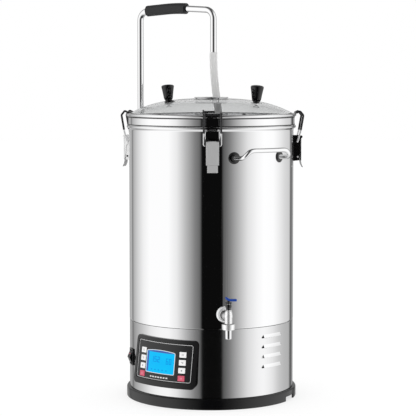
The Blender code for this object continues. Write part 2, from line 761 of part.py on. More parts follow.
def make_latch(side, azimuth, steel):
    pivot_r, pivot_z = LEVER_PIVOT
    nose = []
    for i in range(6):
        turn = math.radians(80 - 32 * i)
        nose.append((pivot_r + 2.6 * math.cos(turn), pivot_z + 2.6 * math.sin(turn)))
    ear = [(WALL_FACE + 0.5, 508)] + nose + [
        (172.6, 500), (171.6, 459), (WALL_FACE + 0.5, 458)
    ]
    half = BRACKET_WIDTH / 2
    back = block((BRACKET_WIDTH, 1.6, 50), (0, -WALL_FACE - 0.8, 483))
    bracket = place(f"latch_{side}_bracket", back, steel, azimuth=azimuth)
    for left in (-half, half - 2):
        combine(bracket, side_prism(ear, left, left + 2), "UNION", azimuth=azimuth)
    pin_hole = sweep([(-20, -pivot_r, pivot_z), (20, -pivot_r, pivot_z)], 1.8, 12)
    combine(bracket, pin_hole, azimuth=azimuth)

    where = {"origin": (0, -pivot_r, pivot_z), "azimuth": azimuth}
    half = LEVER_WIDTH / 2
    web = [(173.8, 459), (175.3, 459), (175.3, 500.4), (173.8, 500.4)]
    lever = place(
        f"latch_{side}_lever", side_prism(web, -half, half, LEVER_PIVOT), steel, **where
    )
    bail_r, bail_z = BAIL_PIVOT
    cheek = [
        (175.3, 458.6), (175.3, 500), (177.6, 503.4), (177.4, 506.4), (175.0, 508.0),
        (171.6, 506.6), (bail_r - 2.4, bail_z + 2.0), (bail_r - 2.6, bail_z - 1.4),
        (bail_r - 0.6, bail_z - 2.8), (171.0, 486), (172.0, 470), (173.4, 458.6),
    ]
    for left in (-half, half - 1.4):
        combine(lever, side_prism(cheek, left, left + 1.4, LEVER_PIVOT), "UNION", **where)
    tab = [
        (173.8, 461), (175.3, 461), (175.3, 456.5), (176.6, 451), (179.2, 445.6), (178.0, 445),
        (175.3, 450.4), (173.8, 456.5),
    ]
    combine(lever, side_prism(tab, -9.75, 9.75, LEVER_PIVOT), "UNION", **where)
    pin = sweep([(-half + 0.5, 0, 0), (half - 0.5, 0, 0)], 1.5, 12)
    combine(lever, pin, "UNION", **where)

    x = BAIL_WIDTH / 2 - BAIL_WIRE
    stub = half + 0.4
    leg = [BAIL_PIVOT, (173.0, 515.0), (178.6, 547.0), (172.0, 555.0), HOOK_BAR]
    corners = [(stub, *BAIL_PIVOT)] + [(x, r, z) for r, z in leg]
    corners += [(-x, r, z) for r, z in reversed(leg)] + [(-stub, *BAIL_PIVOT)]
    corners = [(x, bail_r - r, z - bail_z) for x, r, z in corners]
    radii = [2.6, 20.0, 4.5, 2.5, 2.6]
    bail = sweep(rounded(corners, radii + radii[::-1], 1), BAIL_WIRE, 6)
    place(f"latch_{side}_bail", bail, steel, (0, -bail_r, bail_z), azimuth)


def make_handle(side, azimuth, steel):
    """A rod that leaves two flanges straight out, then curves up and in to a straight bar."""
    span = math.radians(HANDLE_SPAN)
    post, bar, reach = HANDLE_POST_HEIGHT, HANDLE_BAR_HEIGHT, HANDLE_REACH
    foot = WALL_FACE + 1.0
    half = [
        (foot * math.sin(span), foot * math.cos(span), post),
        (51.4, reach - 22.0, post),
        (51.2, reach - 10.5, post + 1.2),
        (48.6, reach - 3.6, post + 6.0),
        (42.8, reach - 0.6, bar - 2.4),
        (34.5, reach, bar),
        (17.0, reach, bar),
    ]
    knots = [(-x, -y, z) for x, y, z in half] + [(0.0, -reach, bar)]
    knots += [(x, -y, z) for x, y, z in reversed(half)]
    handle = place(
        f"handle_{side}", sweep(smooth_path(knots, 2), HANDLE_ROD, 8), steel, azimuth=azimuth
    )
    flange = [
        (0, 0.2), (HANDLE_FLANGE, 0.2), (HANDLE_FLANGE, 2.4), (HANDLE_FLANGE - 2, 3.6), (0, 3.6)
    ]
    for turn in (-HANDLE_SPAN, HANDLE_SPAN):
        combine(
            handle, lathe(flange, 16), "UNION", origin=(0, -WALL_FACE, post),
            azimuth=azimuth + turn, tilt=90,
        )


def main():
    clear_scene()
    polished = material("polished_steel", (0.82, 0.83, 0.84), 0.06, 1.0)
    brushed = material("brushed_steel", (0.72, 0.72, 0.73), 0.32, 1.0)
    chrome = material("chrome", (0.86, 0.86, 0.88), 0.08, 1.0)
    inner_steel = material("inner_steel", (0.66, 0.67, 0.68), 0.3, 1.0)
    dark_steel = material("painted_plate", (0.06, 0.06, 0.065), 0.5)
    plastic = material("black_plastic", (0.02, 0.02, 0.022), 0.4)
    rubber = material("grip_rubber", (0.03, 0.03, 0.032), 0.55)
    face_black = material("faceplate_black", (0.015, 0.015, 0.017), 0.25)
    lcd_blue = material("lcd_blue", (0.05, 0.35, 0.75), 0.2)
    white = material("button_white", (0.85, 0.85, 0.85), 0.4)
    red = material("button_red", (0.7, 0.04, 0.08), 0.4)
    blue = material("lever_blue", (0.03, 0.16, 0.5), 0.4)
    glass = material("clear_glass", (0.85, 0.92, 0.92), 0.03)
    silicone = material("clear_silicone", (0.8, 0.8, 0.78), 0.3)
    board_green = material("board_green", (0.02, 0.22, 0.08), 0.5)

    make_vessel(polished)
    make_base(brushed, plastic, dark_steel)
    make_malt_pipe(inner_steel)
    make_heating(dark_steel, inner_steel)
    make_pump(plastic, dark_steel, white, inner_steel)
    make_electrics(plastic, plastic, board_green)
    make_controller(plastic, face_black, lcd_blue, white, red)
    make_tap(chrome, blue)
    make_riser(chrome, blue)
    make_arm(chrome, rubber, silicone)
    make_lid(glass, polished, plastic)
    for side, azimuth in LATCHES.items():
        make_latch(side, azimuth, chrome)
    for side, azimuth in HANDLES.items():
        make_handle(side, azimuth, chrome)


main()
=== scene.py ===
"""Looks of the electric all-in-one brewing kettle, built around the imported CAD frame.

Sizes are in millimetres, scaled to metres as each mesh is made. +Z is up and the front is -Y.
An azimuth is an angle in degrees round the vessel's axis, from the front towards +X. A piece on the
wall is modelled as if it stood at the front and is then turned to its azimuth.
"""
import json
import math

import bmesh
import bpy
from mathutils import Matrix, Vector

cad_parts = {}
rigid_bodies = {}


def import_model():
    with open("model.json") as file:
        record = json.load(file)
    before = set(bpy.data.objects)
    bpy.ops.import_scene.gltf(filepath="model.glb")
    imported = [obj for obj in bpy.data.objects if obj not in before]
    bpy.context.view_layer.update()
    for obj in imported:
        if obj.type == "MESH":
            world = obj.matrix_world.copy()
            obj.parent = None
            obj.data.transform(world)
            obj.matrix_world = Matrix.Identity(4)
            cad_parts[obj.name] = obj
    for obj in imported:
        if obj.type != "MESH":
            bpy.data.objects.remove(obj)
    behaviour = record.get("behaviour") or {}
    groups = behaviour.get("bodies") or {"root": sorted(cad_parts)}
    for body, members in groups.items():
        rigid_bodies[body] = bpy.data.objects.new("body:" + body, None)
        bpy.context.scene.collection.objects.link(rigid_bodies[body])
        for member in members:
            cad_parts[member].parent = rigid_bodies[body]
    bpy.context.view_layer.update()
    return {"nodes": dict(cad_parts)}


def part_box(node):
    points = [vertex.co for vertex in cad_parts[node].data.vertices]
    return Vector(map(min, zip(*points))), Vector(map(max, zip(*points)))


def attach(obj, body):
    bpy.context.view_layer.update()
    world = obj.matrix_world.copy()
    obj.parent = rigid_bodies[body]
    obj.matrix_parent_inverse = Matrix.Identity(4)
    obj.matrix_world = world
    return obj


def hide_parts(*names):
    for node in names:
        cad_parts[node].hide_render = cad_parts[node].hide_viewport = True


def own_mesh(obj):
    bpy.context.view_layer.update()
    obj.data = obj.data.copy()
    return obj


MM = 0.001
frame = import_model()


def low_of(node):
    return Vector(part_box(node)[0]) / MM


def high_of(node):
    return Vector(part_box(node)[1]) / MM


# Sizes read from the frame
RIM_HEIGHT = high_of("kettle_vessel").z
SEAM = low_of("kettle_vessel").z
RING_RADIUS = high_of("base_ring").x
RING_HEIGHT = high_of("base_ring").z
BEAD_RADIUS = high_of("kettle_vessel").x
SHELL_TOP = high_of("base_shell").z
ARM_END_HEIGHT = high_of("recirculation_hose").z

# Sizes of the finished surfaces
VESSEL_RADIUS = 160.0
BAND_RADIUS = 162.0
SHELL_RADIUS = 159.6
WALL = 1.2
WALL_FACE = VESSEL_RADIUS + 0.2
SHELL_FACE = SHELL_RADIUS + 0.2
BEAD_HEIGHT = 525.9
FINE = 192

# Radii that a cutter spans: it starts inside every wall and ends outside the shell or the panel
CUT_INNER = 150
SHELL_CUT = 165
PANEL_CUT = 185


# --- shapes, each a bmesh in millimetres ----------------------------------------------------------

def skin(bm, rings, ends=True):
    """Faces from each closed ring to the next, and over the first and last."""
    for ring, following in zip(rings, rings[1:]):
        for i in range(len(ring)):
            j = (i + 1) % len(ring)
            bm.faces.new((ring[i], ring[j], following[j], following[i]))
    if ends:
        bm.faces.new(rings[0])
        bm.faces.new(rings[-1])


def lathe(outline, steps=FINE):
    """A body turned about Z from a closed outline of (radius, height) points."""
    bm = bmesh.new()
    rings = []
    for radius, height in outline:
        count = steps if radius > 0 else 1
        angles = [math.tau * i / count for i in range(count)]
        rings.append([
            bm.verts.new((radius * math.cos(a), radius * math.sin(a), height)) for a in angles
        ])
    for ring, following in zip(rings, rings[1:] + rings[:1]):
        if len(ring) == 1 and len(following) == 1:
            continue
        for i in range(steps):
            j = (i + 1) % steps
            corners = (
                ring[i % len(ring)],
                ring[j % len(ring)],
                following[j % len(following)],
                following[i % len(following)],
            )
            bm.faces.new(tuple(dict.fromkeys(corners)))
    return bm


def arc(centre, radius, start, end, steps=6):
    """Outline points along an arc, from one angle to another in degrees."""
    points = []
    for i in range(steps + 1):
        turn = math.radians(start + (end - start) * i / steps)
        points.append((
            centre[0] + radius * math.cos(turn), centre[1] + radius * math.sin(turn)
        ))
    return points


def tangents(path):
    ends = [path[0]] + path + [path[-1]]
    return [(after - before).normalized() for before, after in zip(ends, ends[2:])]


def sweep(points, radius, sides=24, bore=0.0):
    """A round rod along a path, or a tube where it has a bore. radius may be a list."""
    bm = bmesh.new()
    path = [Vector(p) for p in points]
    radii = radius if isinstance(radius, list) else [radius] * len(path)
    side = tangents(path)[0].orthogonal().normalized()
    outer = []
    inner = []
    for point, tangent, reach in zip(path, tangents(path), radii):
        side = (side - side.dot(tangent) * tangent).normalized()
        up = tangent.cross(side)
        spokes = [
            side * math.cos(math.tau * i / sides) + up * math.sin(math.tau * i / sides)
            for i in range(sides)
        ]
        outer.append([bm.verts.new(point + spoke * reach) for spoke in spokes])
        if bore:
            inner.append([bm.verts.new(point + spoke * bore) for spoke in spokes])

    skin(bm, outer, not bore)
    if bore:
        for rings in (inner, (outer[0], inner[0]), (outer[-1], inner[-1])):
            skin(bm, rings, False)
    return bm


def rounded(corners, radii, steps=10):
    """The path through some corners, with an arc in place of each inner corner."""
    corners = [Vector(c) for c in corners]
    path = [corners[0]]
    for before, corner, after, radius in zip(corners, corners[1:], corners[2:], radii):
        back = (before - corner).normalized()
        ahead = (after - corner).normalized()
        half = back.angle(ahead) / 2
        centre = corner + (back + ahead).normalized() * radius / math.sin(half)
        start = corner + back * radius / math.tan(half) - centre
        end = corner + ahead * radius / math.tan(half) - centre
        for i in range(steps + 1):
            path.append(centre + start.slerp(end, i / steps).normalized() * radius)
    path.append(corners[-1])
    return path


def smooth_path(points, steps):
    """Points along a Catmull-Rom curve through the given ones."""
    points = [Vector(p) for p in points]
    ends = [2 * points[0] - points[1]] + points + [2 * points[-1] - points[-2]]
    path = []
    for a, b, c, d in zip(ends, ends[1:], ends[2:], ends[3:]):
        for i in range(steps):
            t = i / steps
            path.append(0.5 * (
                2 * b + (c - a) * t + (2 * a - 5 * b + 4 * c - d) * t ** 2
                + (3 * b - a - 3 * c + d) * t ** 3
            ))
    path.append(points[-1])
    return path


def block(size, centre=(0, 0, 0), bevel=0.0, segments=3):
    bm = bmesh.new()
    bmesh.ops.create_cube(
        bm, size=1.0, matrix=Matrix.Translation(centre) @ Matrix.Diagonal((*size, 1.0))
    )
    if bevel:
        bmesh.ops.bevel(
            bm, geom=bm.edges[:], offset=bevel, segments=segments, profile=0.5, affect="EDGES"
        )
    return bm


def prism(outline, low, high, point):
    """An outline (u, v) extruded from low to high; point(u, v, w) gives a corner's place."""
    bm = bmesh.new()
    rings = [[bm.verts.new(point(u, v, w)) for u, v in outline] for w in (low, high)]
    skin(bm, rings)
    return bm


def side_prism(profile, left, right, pivot=(0.0, 0.0)):
    """A side view (radius, height) extruded across the front, about a pivot."""
    return prism(profile, left, right, lambda r, z, x: (x, pivot[0] - r, z - pivot[1]))


def arc_slab(
    start, end, low, high, back, front, corner=0.0, arch=0.0, columns=24, bend=None
):
    """A panel bent round the vessel's axis. back and front are radii as functions of height.
    corner rounds its four corners, arch lifts the middle of its top, bend moves each point."""
    middle = math.radians((start + end) / 2)
    half = math.radians((end - start) / 2)
    reach = corner / front((low + high) / 2)
    turns = [math.pi / 16 * i for i in range(9)] if corner else [0.0]
    left = [(-half + reach * (1 - math.cos(t)), corner * (1 - math.sin(t))) for t in turns]
    inner = half - reach
    between = [(inner * (2 * i / columns - 1), 0.0) for i in range(1, columns)]
    right = [(-angle, inset) for angle, inset in reversed(left)]
    bm = bmesh.new()
    rings = []
    for angle, inset in left + between + right:
        top = high - inset + arch * (1 - (angle / half) ** 2)
        bottom = low + inset
        corners = []
        for radius, height in ((back, bottom), (back, top), (front, top), (front, bottom)):
            reach_out = radius(height)
            turn = middle + angle
            if bend:
                azimuth, height = bend(math.degrees(turn), height)
                turn = math.radians(azimuth)
            corners.append(bm.verts.new(
                (reach_out * math.sin(turn), -reach_out * math.cos(turn), height)
            ))
        rings.append(corners)
    skin(bm, rings)
    return bm


def radius_of(value):
    return lambda height: value


def wall_cutter(start, end, low, high, *more, outer=PANEL_CUT, bend=None, **sizes):
    """An arc_slab that reaches through a whole wall."""
    span = (radius_of(CUT_INNER), radius_of(outer))
    return arc_slab(start, end, low, high, *span, *more, bend=bend, **sizes)


# --- pieces ---------------------------------------------------------------------------------------

def place(name, bm, finish, origin=(0, 0, 0), azimuth=0.0, tilt=0.0, sharp=32):
    """Turn a bmesh into an object. origin is its place before it turns to its azimuth."""
    bmesh.ops.recalc_face_normals(bm, faces=bm.faces[:])
    bm.transform(Matrix.Scale(MM, 4))
    mesh = bpy.data.meshes.new(name)
    bm.to_mesh(mesh)
    bm.free()
    mesh.shade_smooth()
    mesh.set_sharp_from_angle(angle=math.radians(sharp))
    obj = bpy.data.objects.new(name, mesh)
    turn = Matrix.Rotation(math.radians(azimuth), 4, "Z")
    obj.location = turn @ Vector(origin) * MM
    obj.rotation_euler = (math.radians(tilt), 0.0, math.radians(azimuth))
    mesh.materials.append(finish)
    bpy.context.collection.objects.link(obj)
    return obj


def combine(obj, bm, operation="DIFFERENCE", sharp=32, **where):
    """Cut a shape out of an object, or join one to it with UNION, and keep the plain result."""
    tool = place("tool", bm, obj.data.materials[0], **where)
    modifier = obj.modifiers.new(operation, "BOOLEAN")
    modifier.operation = operation
    modifier.solver = "EXACT"
    modifier.object = tool
    bpy.context.view_layer.update()
    seen = obj.evaluated_get(bpy.context.evaluated_depsgraph_get())
    mesh = bpy.data.meshes.new_from_object(seen)
    obj.modifiers.clear()
    obj.data = mesh
    mesh.shade_smooth()
    mesh.set_sharp_from_angle(angle=math.radians(sharp))
    bpy.data.objects.remove(tool, do_unlink=True)


def soften(obj, width, segments=2, angle=35):
    """Round an object's sharp edges a little, so that they catch the light."""
    bevel = obj.modifiers.new("edges", "BEVEL")
    bevel.width = width * MM
    bevel.segments = segments
    bevel.limit_method = "ANGLE"
    bevel.angle_limit = math.radians(angle)
    bevel.harden_normals = False


# --- materials ------------------------------------------------------------------------------------

class Tree:
    """A node tree, with short calls to add and join nodes."""

    def __init__(self, owner):
        owner.use_nodes = True
        self.nodes = owner.node_tree.nodes
        self.links = owner.node_tree.links

    def put(self, socket, value):
        """Link another node's output to a socket, or set the socket's value."""
        if isinstance(value, bpy.types.NodeSocket):
            self.links.new(value, socket)
        else:
            socket.default_value = value

    def add(self, kind, **values):
        """A node; each value goes to the input of that name, or else to the setting."""
        node = self.nodes.new("ShaderNode" + kind)
        for name, value in values.items():
            if name.replace("_", " ") in node.inputs:
                self.put(node.inputs[name.replace("_", " ")], value)
            else:
                setattr(node, name.lower(), value)
        return node

    def noise(self, scale, detail=3.0, stretch=(1.0, 1.0, 1.0)):
        """Noise in object space; stretch squeezes it along an axis."""
        place = self.add("TexCoord").outputs["Object"]
        mapping = self.add("Mapping", Vector=place, Scale=stretch).outputs["Vector"]
        return self.add("TexNoise", Vector=mapping, Scale=scale, Detail=detail).outputs["Fac"]

    def span(self, value, **limits):
        return self.add("MapRange", Value=value, **limits).outputs["Result"]

    def math(self, operation, *values):
        node = self.add("Math", Operation=operation)
        for socket, value in zip(node.inputs, values):
            self.put(socket, value)
        return node.outputs[0]

    def mix(self, share, *colours):
        node = self.add("Mix", Data_Type="RGBA")
        self.put(node.inputs[0], share)
        sockets = [socket for socket in node.inputs if socket.type == "RGBA"]
        for socket, colour in zip(sockets, colours):
            self.put(socket, (*colour, 1.0) if isinstance(colour, tuple) else colour)
        return [socket for socket in node.outputs if socket.type == "RGBA"][0]


def make_finish(
    name, colour, metallic=0.0, rough=None, tint=None, bump=None, edge=None, glow=None, **inputs
):
    """A material. rough, tint, glow and bump are each a noise and what it varies between:
    two roughnesses, two colours, two lights, or a strength and a depth. edge is two colours of
    painted shade: the base colour darkens where the surface turns away from the view, as a metal
    does in front of a white studio."""
    material = bpy.data.materials.new(name)
    tree = Tree(material)
    shader = tree.nodes["Principled BSDF"].inputs
    values = {"Base_Color": (*colour, 1.0), "Metallic": metallic} | inputs
    for socket, value in values.items():
        tree.put(shader[socket.replace("_", " ")], value)
    if rough:
        noise, low, high = rough
        tree.put(shader["Roughness"], tree.span(tree.noise(*noise), To_Min=low, To_Max=high))
    for blend, socket in ((tint, "Base Color"), (glow, "Emission Color")):
        if blend:
            noise, first, second = blend
            tree.put(shader[socket], tree.mix(tree.noise(*noise), first, second))
    if bump:
        noise, strength, depth = bump
        relief = tree.add("Bump", Strength=strength, Distance=depth, Height=tree.noise(*noise))
        tree.put(shader["Normal"], relief.outputs["Normal"])
    # painted shade: the base colour darkens where the surface turns away from the view
    if edge:
        turned = tree.add("LayerWeight", Blend=0.5).outputs["Facing"]
        if name == "brushed_steel":
            turned = tree.span(turned, **SHELL_EDGE_SHADE)
        else:
            turned = tree.math("POWER", turned, METAL_EDGE_SHADE)
        tree.put(shader["Base Color"], tree.mix(turned, *edge))
    return material


# how fast the painted edge shade darkens a metal as it turns away: the base shell between two
# angles, the rest by a power
SHELL_EDGE_SHADE = {"From_Min": 0.2, "From_Max": 0.5, "Interpolation_Type": "SMOOTHSTEP"}
METAL_EDGE_SHADE = 1.5
# noise that runs in fine lines round the body, and in a fine vertical grain
LINES = (1.0, 3.0, (9.0, 9.0, 2600.0))
GRAIN = (1.0, 3.0, (900.0, 900.0, 60.0))
GLOW = {"colour": (0.0, 0.0, 0.01), "Specular_IOR_Level": 0.1}
LOOKS = {
    "polished_steel": {
        "colour": (0.86, 0.86, 0.865), "metallic": 1.0, "rough": ((9.0, 4.0), 0.025, 0.06),
        "bump": ((14.0, 2.0), 0.012, 0.002),
    },
    # the base shell's steel: painted shade darkens it towards its sides
    "brushed_steel": {
        "colour": (0.8, 0.8, 0.805), "metallic": 1.0, "rough": (LINES, 0.06, 0.12),
        "bump": (LINES, 0.05, 0.0002), "edge": ((0.8, 0.8, 0.805), (0.57, 0.57, 0.573)),
    },
    # the latches' pressed sheet
    "satin_steel": {
        "colour": (0.6, 0.6, 0.6), "metallic": 0.45, "rough": (GRAIN, 0.36, 0.5),
        "tint": (GRAIN, (0.56, 0.56, 0.56), (0.66, 0.66, 0.66)), "bump": (GRAIN, 0.06, 0.0002),
    },
    "inner_steel": {
        "colour": (0.7, 0.7, 0.71), "metallic": 1.0, "rough": ((40.0, 4.0), 0.22, 0.34),
    },
    # rods and fittings: painted shade turns them nearly black at their edges, a painted reflection
    # of the dark studio
    "bright_fittings": {
        "colour": (0.9, 0.9, 0.905), "metallic": 1.0, "rough": ((60.0,), 0.05, 0.1),
        "edge": ((0.97, 0.97, 0.975), (0.06, 0.06, 0.06)),
    },
    # nickel painted near black: a painted reflection of the dark studio on brackets, flanges, the
    # gland and stems
    "dark_nickel": {
        "colour": (0.07, 0.07, 0.07), "metallic": 1.0, "rough": ((90.0,), 0.16, 0.26),
    },
    # near-black metal for painted shade lines along the beads
    "crease": {
        "colour": (0.05, 0.05, 0.05), "metallic": 1.0, "rough": ((90.0,), 0.24, 0.39),
    },
    "hook_sleeve": {
        "colour": (0.01, 0.01, 0.011), "rough": ((300.0,), 0.2, 0.34),
        "bump": ((1200.0,), 0.05, 0.0002),
    },
    "black_plastic": {
        "colour": (0.0025, 0.0025, 0.003), "rough": ((120.0,), 0.12, 0.2),
        "bump": ((1800.0, 2.0), 0.06, 0.0002),
    },
    "painted_plate": {
        "colour": (0.05, 0.05, 0.052), "rough": ((200.0,), 0.42, 0.58),
        "bump": ((900.0,), 0.1, 0.0002),
    },
    "grip_rubber": {
        "colour": (0.007, 0.007, 0.008), "rough": ((1400.0, 4.0), 0.4, 0.62),
        "bump": ((1400.0, 4.0), 0.3, 0.0004),
    },
    "faceplate": {
        "colour": (0.004, 0.004, 0.005), "rough": ((300.0,), 0.15, 0.22),
        "bump": ((2500.0, 2.0), 0.05, 0.0001),
    },
    "lcd": GLOW | {
        "rough": ((500.0,), 0.15, 0.22), "glow": ((45.0,), (0.0, 0.48, 1.0), (0.0, 0.62, 1.0)),
        "Emission_Strength": 0.95,
    },
    "blue_levers": {
        "colour": (0.0, 0.06, 0.36), "Roughness": 0.3,
        "tint": ((60.0,), (0.0, 0.03, 0.24), (0.0, 0.06, 0.36)), "bump": ((500.0,), 0.05, 0.0003),
    },
    "lid_glass": {
        "colour": (0.76, 0.765, 0.765), "rough": ((20.0,), 0.0, 0.004), "IOR": 1.05,
        "Transmission_Weight": 1.0,
    },
    "silicone": {
        "colour": (0.95, 0.95, 0.945), "rough": ((80.0,), 0.26, 0.36), "IOR": 1.3,
        "Transmission_Weight": 0.35,
    },
    "board": {
        "colour": (0.02, 0.22, 0.08), "Roughness": 0.45,
        "tint": ((400.0,), (0.01, 0.16, 0.05), (0.03, 0.26, 0.1)),
    },
}
# copies of one nickel, each with painted edge shade: the tap's cast metal is softer than the rods,
# so it stays pale in front of the dark side; the wall flange's copy is a painted lit copy with less
# metal and lighter edges, and the white copy is painted glare for the left latch
for name, metallic, tone in (
    ("cast_nickel", 0.8, 0.2), ("pale_nickel", 0.45, 0.5), ("white_nickel", 0.25, 0.9),
):
    LOOKS[name] = {
        "colour": (0.9, 0.9, 0.9), "metallic": metallic, "rough": ((90.0,), 0.2, 0.3),
        "edge": ((1.0, 1.0, 1.0), (tone, tone, tone)),
    }
for name, first, second in (
    ("white_buttons", (0.9, 0.9, 0.9), (0.95, 0.95, 0.95)),
    ("red_buttons", (0.62, 0.07, 0.13), (0.72, 0.12, 0.19)),
):
    LOOKS[name] = {
        "colour": first, "tint": ((90.0,), first, second), "rough": ((700.0,), 0.3, 0.42),
        "bump": ((1500.0, 2.0), 0.04, 0.0001),
    }
for name, colour in (
    ("pale_ink", (0.8, 0.8, 0.8)), ("mark_grey", (0.3, 0.3, 0.31)), ("mark_red", (0.75, 0.35, 0.4)),
):
    LOOKS[name] = {"colour": colour, "rough": ((500.0,), 0.42, 0.58)}
for name, colour, strength in (
    ("lcd_digit", (0.0, 0.3, 0.85), 0.9), ("lcd_shade", (0.08, 0.16, 0.52), 0.8),
):
    LOOKS[name] = GLOW | {
        "rough": ((300.0,), 0.15, 0.25), "Emission_Color": (*colour, 1.0),
        "Emission_Strength": strength,
    }
FINISHES = {name: make_finish(name, **look) for name, look in LOOKS.items()}


def piece(name, slot, bm, body="kettle", stands=(), finish=None, sharp=32, **where):
    """A finished piece that rides on a body and stands for some CAD nodes. Its finish has the
    slot's name, unless another is given."""
    obj = place(name, bm, FINISHES[finish or slot], sharp=sharp, **where)
    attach(obj, body)
    if stands:
        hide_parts(*stands)
    return obj


# --- vessel and base ------------------------------------------------------------------------------

TAP_AZIMUTH = 8.6
TAP_HEIGHT = 180.0
TAP_NECK = 7.2
ARM_AZIMUTH = -125.2
PUMP_HEIGHT = 99.0
PUMP_REACH = 100.0
PUMP_HOLE = 6.3
PROBE_HOLE = (95.0, 40.0, 3.3)
SWITCH_AZIMUTH = -74.0
SWITCH_HEIGHT = 81.0
ROCKER_PIN = 156.9
INLET_AZIMUTH = 180.0
INLET_HEIGHT = 62.0
LOUVRE_HEIGHTS = (134.0, 115.0, 96.0, 77.0)
LOUVRE_START = 37.0
LOUVRE_END = 57.0
LOUVRE_HALF = 3.6
LOUVRE_REACH = 3.0
# where each step of a slit starts, from the louvre's start, and its low and high edges
LOUVRE_SLITS = ((-0.5, -4.4, -1.6), (0.1, -1.8, 0.3), (0.7, 0.1, 1.5))
NOTCH_AZIMUTH = 67.0
NOTCH_SIZE = (41.0, 9.0)
# start, end, low and high of the hole behind the controller
SHELL_WINDOW = (-51.8, -14.8, 53, 112)


def rod(radius_start, radius_end, height, thick, sides=40):
    """A cutter or pin that lies along the outward line at the front."""
    return sweep([(0, -radius_start, height), (0, -radius_end, height)], thick, sides)


def make_vessel():
    bottom = SEAM
    floor = bottom + WALL
    inner = VESSEL_RADIUS - WALL
    band = BAND_RADIUS
    bead = arc((BEAD_RADIUS - 3.15, BEAD_HEIGHT), 3.15, -60, 52, 10)
    rim = arc((band - 0.6, RIM_HEIGHT - 0.6), 0.6, 0, 180, 6)
    outline = [
        (0, bottom), (VESSEL_RADIUS - 1.2, bottom), (VESSEL_RADIUS - 0.35, bottom + 0.35),
        (VESSEL_RADIUS, bottom + 1.2), (VESSEL_RADIUS, bottom + 2.4), (VESSEL_RADIUS, 518.0),
        (VESSEL_RADIUS, 519.6), (160.2, 520.9), (160.9, 521.9),
        (161.9, 522.6),
    ]
    outline += bead
    outline += [(162.6, 529.0), (162.1, 529.7), (band, 530.8)] + rim
    outline += [
        (band - WALL, 530.0), (band - WALL - 0.8, 527.0), (inner, 522.0), (inner, floor + 4),
        (inner - 1.2, floor + 1.2), (inner - 4, floor), (0, floor),
    ]
    vessel = piece("vessel_wall", "polished_steel", lathe(outline), stands=["kettle_vessel"])
    # two thin dark rings of painted shade: one above the vessel's bead, one in the gap under the
    # lid's rim
    for name, low, high in (("bead_crease", 529.4, 530.9), ("rim_crease", 543.4, 545.1)):
        crease = [(band - 1.0, low), (band + 0.5, low), (band + 0.5, high), (band - 1.0, high)]
        piece(name, "polished_steel", lathe(crease), finish="crease")
    combine(vessel, rod(150, 170, TAP_HEIGHT, TAP_NECK + 0.3), azimuth=TAP_AZIMUTH)
    turn = math.radians(ARM_AZIMUTH)
    inlet = (PUMP_REACH * math.sin(turn), -PUMP_REACH * math.cos(turn), PUMP_HOLE)
    for x, y, radius in (inlet, PROBE_HOLE):
        combine(vessel, sweep([(x, y, bottom - 5), (x, y, floor + 5)], radius, 32))


def louvre_hood(height):
    """A pressed hood: it rises towards its lower lip, stays open on the left, runs out right."""
    bm = bmesh.new()
    columns, rows = 48, 10
    hood_start = LOUVRE_START + 1.0
    outer = []
    inner = []
    for i in range(columns + 1):
        share = i / columns
        outer.append([])
        inner.append([])
        for j in range(rows + 1):
            drop = j / rows
            turn = math.radians(hood_start + (LOUVRE_END - hood_start) * share)
            near_end = max(0.0, 1 - share - 0.06 * (1 - drop)) * columns / 5
            swell = math.sin(min(near_end, 1.0) * math.pi / 2) ** 1.2
            z = height + LOUVRE_HALF * (1 - 2 * drop)
            radius = SHELL_RADIUS - 0.3 + (LOUVRE_REACH + 0.3) * drop ** 1.4 * swell
            for grid, inset in ((outer, 0.0), (inner, 0.9)):
                r = radius - inset
                grid[-1].append(bm.verts.new((r * math.sin(turn), -r * math.cos(turn), z)))
    for i in range(columns):
        for j in range(rows):
            for grid in (outer, inner):
                bm.faces.new((grid[i][j], grid[i + 1][j], grid[i + 1][j + 1], grid[i][j + 1]))
    for i in range(columns):
        for j in (0, rows):
            bm.faces.new((outer[i][j], outer[i + 1][j], inner[i + 1][j], inner[i][j]))
    for j in range(rows):
        for i in (0, columns):
            bm.faces.new((outer[i][j], outer[i][j + 1], inner[i][j + 1], inner[i][j]))
    return bm


